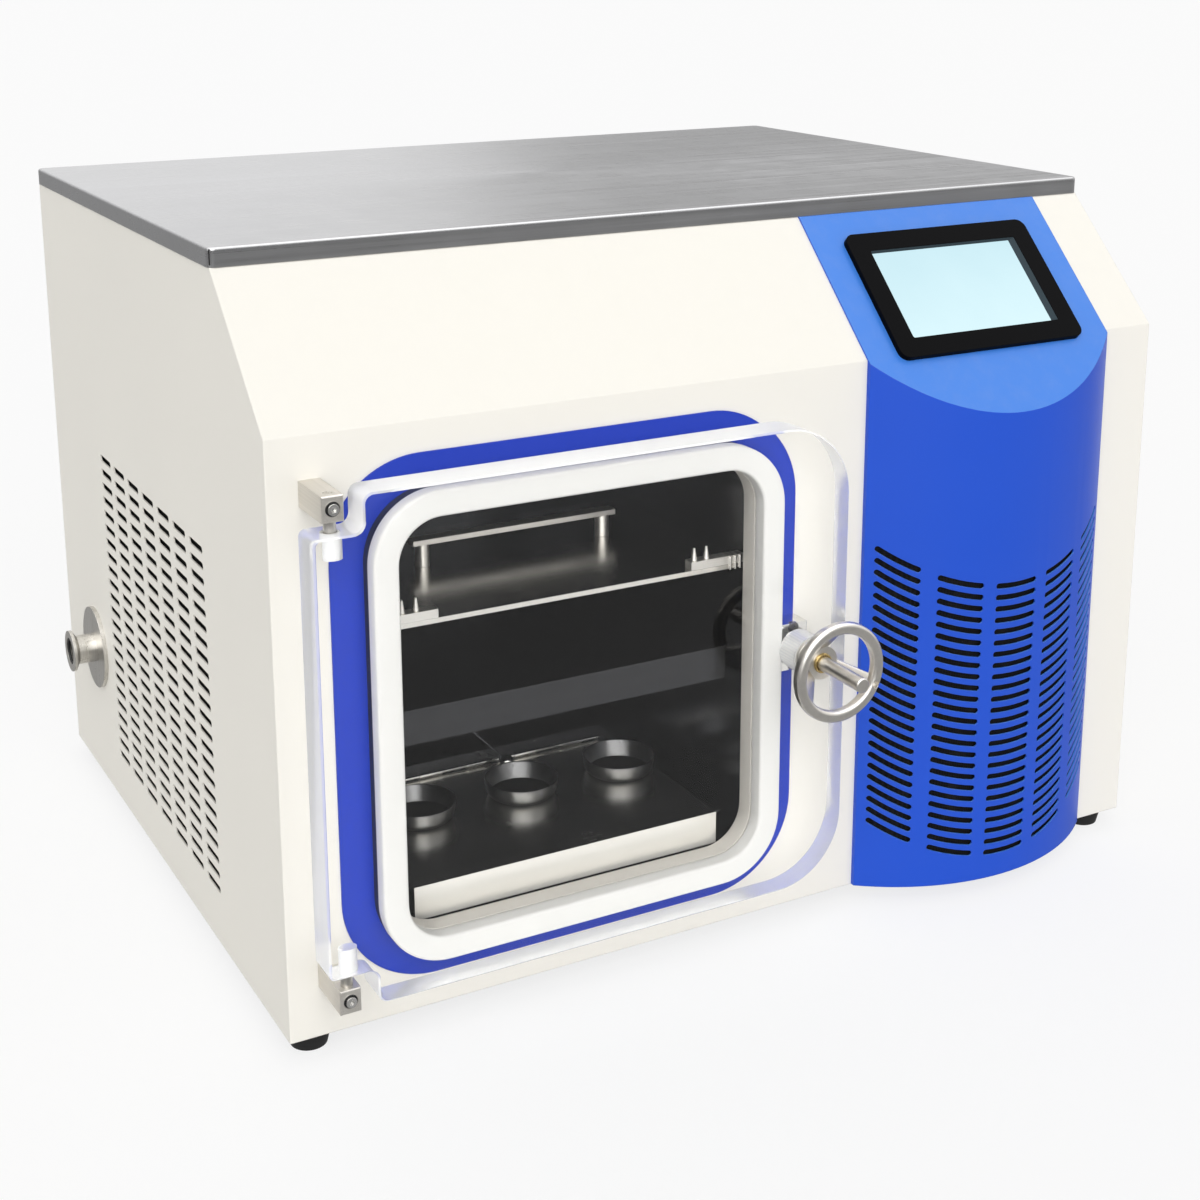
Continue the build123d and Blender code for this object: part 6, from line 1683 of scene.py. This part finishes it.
@dataclass
class Machinery(Assembly):
    """Refrigeration and electrics inside the cabinet."""

    standoff: float = 0.010
    board: float = 0.0016
    chips_in_row: int = 6
    chip_start: Triple = (0.0, 0.030, 0.104)
    chip_pitch: float = 0.022
    chip_low: Triple = (-0.0022, -0.005, -0.004)
    chip_high: Triple = (-0.0004, 0.005, 0.004)
    chip_edge: float = 0.0002
    leg_row: float = 0.0006
    leg_length: float = 0.0012
    cans_in_row: int = 5
    can_start: Triple = (-0.0062, 0.026, 0.012)
    can_radius: float = 0.004
    can_length: float = 0.012
    can_pitch: float = 0.012
    can_rim: float = 0.0006
    can_dent: float = 0.0004
    can_edge: float = 0.0005
    shell: float = 0.078
    box_low: Triple = (-0.030, -0.026, 0.070)
    box_high: Triple = (0.030, 0.010, 0.130)
    box_rim: float = 0.004
    box_step: float = 0.001
    box_rise: float = 0.002
    box_edge: float = 0.003
    weld_height: float = 0.105
    weld_half: float = 0.0024
    weld_ripple: float = 0.0002
    weld_slant: float = 0.4
    terminals_in_row: int = 7
    terminal_start: Triple = (-0.004, 0.020, 0.018)
    terminal_half: Triple = (0.004, 0.004, 0.006)
    terminal_pitch: float = 0.0086
    terminal_rim: float = 0.0012
    terminal_dent: float = 0.0015
    terminal_edge: float = 0.0004
    contact_places: tuple[tuple[float, float], ...] = ((-0.007, -0.002), (0.0, 0.003), (0.007, -0.002))
    contact_half: Triple = (0.00115, 0.0087, 0.00215)
    contact_depth: float = 0.0095
    inlet_lip: float = 0.003
    contact_rim: float = 0.0005
    contact_rise: float = 0.0003
    contact_edge: float = 0.00025

    def build(self) -> None:
        """Dresses the machines and makes the small pieces on them."""
        self.dress({
            "compressor": "compressor_paint", "compressor_grommets": "foot_rubber", "condenser": "fins",
            "fan_shroud": "zinc_steel", "fan_motor": "screw_steel", "fan_blades": "dark_plastic",
            "filter_drier": "copper", "refrigerant_lines": "copper", "control_board": "board",
            "power_supply": "zinc_steel", "power_inlet": "dark_plastic",
            "main_switch_housing": "dark_plastic", "main_switch_rocker": "red_plastic",
        })
        self.chips()
        self.capacitors()
        self.terminal_box()
        self.weld_bead()
        self.supply_terminals()
        self.inlet_contacts()

    def board_face(self) -> Triple:
        """The lowest front corner of the board's free face, where its parts sit."""
        low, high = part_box("control_board")
        return high.x - self.standoff - self.board, low.y, low.z

    @staticmethod
    def row(count: int, pitch: float) -> list[Vector]:
        """How far each piece of a row along y is from the first, without the first itself."""
        return [Vector((0.0, pitch * index, 0.0)) for index in range(1, count)]

    def chips(self) -> None:
        """A row of chips on the control board, with legs above and below."""
        start = shifted(self.board_face(), self.chip_start)
        first = self.shop.block("chip_1", shifted(start, self.chip_low), shifted(start, self.chip_high))
        self.shop.edit(first, faces=lambda normal, place: abs(normal.z) > SQUARE_ON)
        bpy.ops.mesh.inset(thickness=self.leg_row, depth=0.0)
        bpy.ops.mesh.extrude_region_shrink_fatten(TRANSFORM_OT_shrink_fatten={"value": self.leg_length})
        self.shop.soften(first, self.chip_edge)
        self.hold(first, "cabinet", "dark_plastic", "chip_plastic")
        steps = ((0.0, self.chip_pitch * index, 0.0) for index in range(1, self.chips_in_row))
        shifts = [Vector(shifted(start, step)) - Vector(start) for step in steps]
        self.repeat(first, "chip", shifts, "dark_plastic", "chip_plastic")

    def capacitors(self) -> None:
        """Round capacitors along the lower edge of the control board."""
        start = Vector(shifted(self.board_face(), self.can_start))
        first = self.shop.round("capacitor_1", start, Axis.X, self.can_radius, self.can_length, 32)
        self.shop.pick(first, Side.LEFT)
        bpy.ops.mesh.inset(thickness=self.can_rim, depth=-self.can_dent)
        self.shop.soften(first, self.can_edge)
        self.hold(first, "cabinet", "zinc_steel")
        self.repeat(first, "capacitor", self.row(self.cans_in_row, self.can_pitch), "zinc_steel")

    def terminal_box(self) -> None:
        """The cover over the compressor's electrical terminals."""
        low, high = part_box("compressor")
        middle = (low + high) / 2
        start = (middle.x, middle.y - self.shell, low.z)
        piece = self.shop.block(
            "compressor_terminal_box", shifted(start, self.box_low), shifted(start, self.box_high),
        )
        self.shop.pick(piece, Side.FRONT)
        bpy.ops.mesh.inset(thickness=self.box_rim, depth=0.0)
        bpy.ops.mesh.inset(thickness=self.box_step, depth=self.box_rise)
        self.shop.soften(piece, self.box_edge, 3)
        self.hold(piece, "cabinet", "dark_plastic")

    def weld_bead(self) -> None:
        """The weld where the compressor's two shells meet."""
        low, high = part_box("compressor")
        middle = (low + high) / 2
        centre = Vector((middle.x, middle.y, low.z + self.weld_height))
        piece = self.shop.hoop("compressor_weld", centre, Axis.Z, self.shell, self.weld_half, 96, 10)
        self.shop.edit(piece, faces=lambda normal, place: abs(normal.z) < self.weld_slant)
        bpy.ops.mesh.inset(thickness=self.weld_ripple, depth=self.weld_ripple, use_individual=True)
        self.shop.clear()
        self.shop.smooth(piece, 60.0)
        self.hold(piece, "cabinet", "compressor_paint")

    def supply_terminals(self) -> None:
        """The terminal strip of the power supply."""
        start = Vector(shifted(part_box("power_supply")[0], self.terminal_start))
        half = Vector(self.terminal_half)
        first = self.shop.block("supply_terminal_1", start - half, start + half)
        self.shop.pick(first, Side.LEFT)
        bpy.ops.mesh.inset(thickness=self.terminal_rim, depth=-self.terminal_dent)
        self.shop.soften(first, self.terminal_edge)
        self.hold(first, "cabinet", "dark_plastic")
        shifts = self.row(self.terminals_in_row, self.terminal_pitch)
        self.repeat(first, "supply_terminal", shifts, "dark_plastic")

    def inlet_contacts(self) -> None:
        """Bright tips on the three contacts of the mains inlet."""
        low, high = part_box("power_inlet")
        middle = (low + high) / 2
        depth = high.y - self.inlet_lip - self.contact_depth
        start, *others = (Vector((middle.x + x, depth, middle.z + z)) for x, z in self.contact_places)
        half = Vector(self.contact_half)
        first = self.shop.block("inlet_contact_1", start - half, start + half)
        self.shop.pick(first, Side.BACK)
        bpy.ops.mesh.inset(thickness=self.contact_rim, depth=self.contact_rise)
        self.shop.soften(first, self.contact_edge)
        self.hold(first, "cabinet", "polished_steel", "brass")
        self.repeat(first, "inlet_contact", [place - start for place in others], "polished_steel", "brass")


@dataclass
class Studio:
    """A pale floor, soft lamps and the camera."""

    eye: Triple = (-0.8116, -1.5122, 0.8393)
    yaw: float = 28.557
    pitch: float = 13.817
    roll: float = -0.122
    lens: float = 57.22
    shift: float = -0.17
    sensor: float = 36.0
    nearest: float = 0.05
    farthest: float = 400.0
    floor_size: float = 160.0
    floor_depth: float = 0.0002
    floor_tone: Colour = (0.80, 0.80, 0.80)
    floor_glow: float = 1.04
    ambient: float = 0.59
    key_strength: float = 1.77
    key_from: Triple = (-0.22, -0.46, 0.33)
    key_angle: float = 60.0
    rim_strength: float = 0.22
    rim_from: Triple = (0.10, 0.95, 0.27)
    rim_angle: float = 40.0
    camera_side: Triple = (-0.47, -0.88, 0.0)
    dark_side: float = 0.30
    dark_back: float = 0.51
    dark_floor: float = 0.42
    overhead: float = 1.8
    glow_share: float = 0.74

    def build(self) -> None:
        """Makes the floor, the sky, the lamps and the camera."""
        self.floor()
        self.sky()
        self.lamp("key_lamp", self.key_from, self.key_strength, self.key_angle)
        self.lamp("rim_lamp", self.rim_from, self.rim_strength, self.rim_angle)
        self.camera()

    def floor(self) -> None:
        """A wide pale floor that keeps the machine's shadow."""
        Workshop.clear()
        bpy.ops.mesh.primitive_plane_add(size=self.floor_size, location=(0.0, 0.0, -self.floor_depth))
        piece = Workshop.settle("studio_floor")
        material = bpy.data.materials.new("studio_floor")
        material.use_nodes = True
        tree = Tree(material.node_tree)
        tone = tree.group("tone drift", Colour=opaque(self.floor_tone), Amount=0.004, Scale=2.0)
        cloth = tree.node("ShaderNodeBsdfDiffuse", None, Color=tone.outputs["Colour"]).outputs[0]
        glow = tree.node("ShaderNodeEmission", None, Color=WHITE, Strength=self.floor_glow).outputs[0]
        lit = tree.layer(tree.math("MULTIPLY", self.looked_at(tree), self.glow_share), cloth, glow)
        ahead = tree.vector("DOT_PRODUCT", tree.place(), self.camera_side).outputs["Value"]
        level = tree.remap(ahead, 0.2, 1.0, self.dark_floor, self.dark_side)
        dim = tree.node("ShaderNodeEmission", None, Color=WHITE, Strength=level).outputs[0]
        tree.node("ShaderNodeOutputMaterial", None, Surface=tree.layer(self.mirrored(tree), lit, dim))
        piece.data.materials.append(material)
        log.info("floor laid")

    @staticmethod
    def looked_at(tree: Tree) -> bpy.types.NodeSocket:
        """1 for what the eye, metal or glass shows, and 0 for light that falls on things.

        Args:
            tree: the tree that needs it.

        Returns:
            The number.
        """
        path = tree.node("ShaderNodeLightPath")
        either = tree.math("MAXIMUM", path.outputs["Is Camera Ray"], path.outputs["Is Glossy Ray"])
        return tree.math("MAXIMUM", either, path.outputs["Is Transmission Ray"])

    @staticmethod
    def mirrored(tree: Tree) -> bpy.types.NodeSocket:
        """1 for what a shiny face mirrors, and 0 for all else.

        Args:
            tree: the tree that needs it.

        Returns:
            The number.
        """
        path = tree.node("ShaderNodeLightPath")
        return tree.math("MULTIPLY", path.outputs["Is Glossy Ray"], path.outputs["Is Reflection Ray"])

    def sky(self) -> None:
        """A sky that looks white, lights more softly, and is shaped like a studio where it is mirrored."""
        world = bpy.data.worlds.new("studio")
        bpy.context.scene.world = world
        world.use_nodes = True
        tree = Tree(world.node_tree)
        soft = tree.node("ShaderNodeBackground", None, Color=WHITE, Strength=self.ambient).outputs[0]
        way = tree.node("ShaderNodeTexCoord").outputs["Generated"]
        ahead = tree.vector("DOT_PRODUCT", way, self.camera_side).outputs["Value"]
        parts = tree.node("ShaderNodeSeparateXYZ", None, Vector=way).outputs
        side = tree.remap(ahead, -0.1, 0.75, 1.0, self.dark_side)
        back = tree.remap(parts["Y"], 0.1, 0.6, 1.0, self.dark_back)
        above = tree.remap(parts["Z"], 0.45, 0.9, 0.0, self.overhead)
        studio = tree.math("ADD", tree.math("MULTIPLY", side, back), above)
        mirror = self.mirrored(tree)
        plain = tree.math("SUBTRACT", 1.0, mirror)
        shown = tree.math("ADD", plain, tree.math("MULTIPLY", mirror, studio))
        white = tree.node("ShaderNodeBackground", None, Color=WHITE, Strength=shown).outputs[0]
        tree.node("ShaderNodeOutputWorld", None, Surface=tree.layer(self.looked_at(tree), soft, white))

    @staticmethod
    def lamp(name: str, source: Triple, strength: float, angle: float) -> None:
        """Adds a wide soft lamp, far away.

        Args:
            name: its name.
            source: where its light comes from.
            strength: how strong it is.
            angle: how wide it looks, in degrees.
        """
        light = bpy.data.lights.new(name, "SUN")
        light.energy, light.angle = strength, math.radians(angle)
        lamp = bpy.data.objects.new(name, light)
        bpy.context.scene.collection.objects.link(lamp)
        lamp.rotation_mode = "QUATERNION"
        lamp.rotation_quaternion = Vector(source).to_track_quat("Z", "Y")
        log.info("lamp %s", name)

    def camera(self) -> None:
        """Puts the camera to the left of the front, a little above the lid."""
        data = bpy.data.cameras.new("camera")
        data.lens, data.sensor_width, data.shift_y = self.lens, self.sensor, self.shift
        data.clip_start, data.clip_end = self.nearest, self.farthest
        eye = bpy.data.objects.new("camera", data)
        bpy.context.scene.collection.objects.link(eye)
        aim = Matrix.Rotation(-math.radians(self.yaw), 4, "Z")
        aim = aim @ Matrix.Rotation(math.radians(90.0 - self.pitch), 4, "X")
        aim = aim @ Matrix.Rotation(math.radians(self.roll), 4, "Z")
        eye.matrix_world = Matrix.Translation(self.eye) @ aim
        bpy.context.scene.camera = eye


def write_sizes() -> None:
    """Logs a note; no sizes are written.
    """
    log.info("sizes written")


def main() -> None:
    """Builds the machine and its studio."""
    logging.basicConfig(level=logging.INFO, format="%(name)s: %(message)s")
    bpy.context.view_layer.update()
    view = bpy.context.scene.view_settings
    view.view_transform = "Standard"
    paints = Paints(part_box("door_plate"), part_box("screen_glass"))
    shop = Workshop()
    Studio().build()
    for assembly in (Cabinet, Column, Chamber, Door, VacuumPort, Machinery):
        assembly(paints, shop).build()
    write_sizes()


if __name__ == "__main__":
    main()
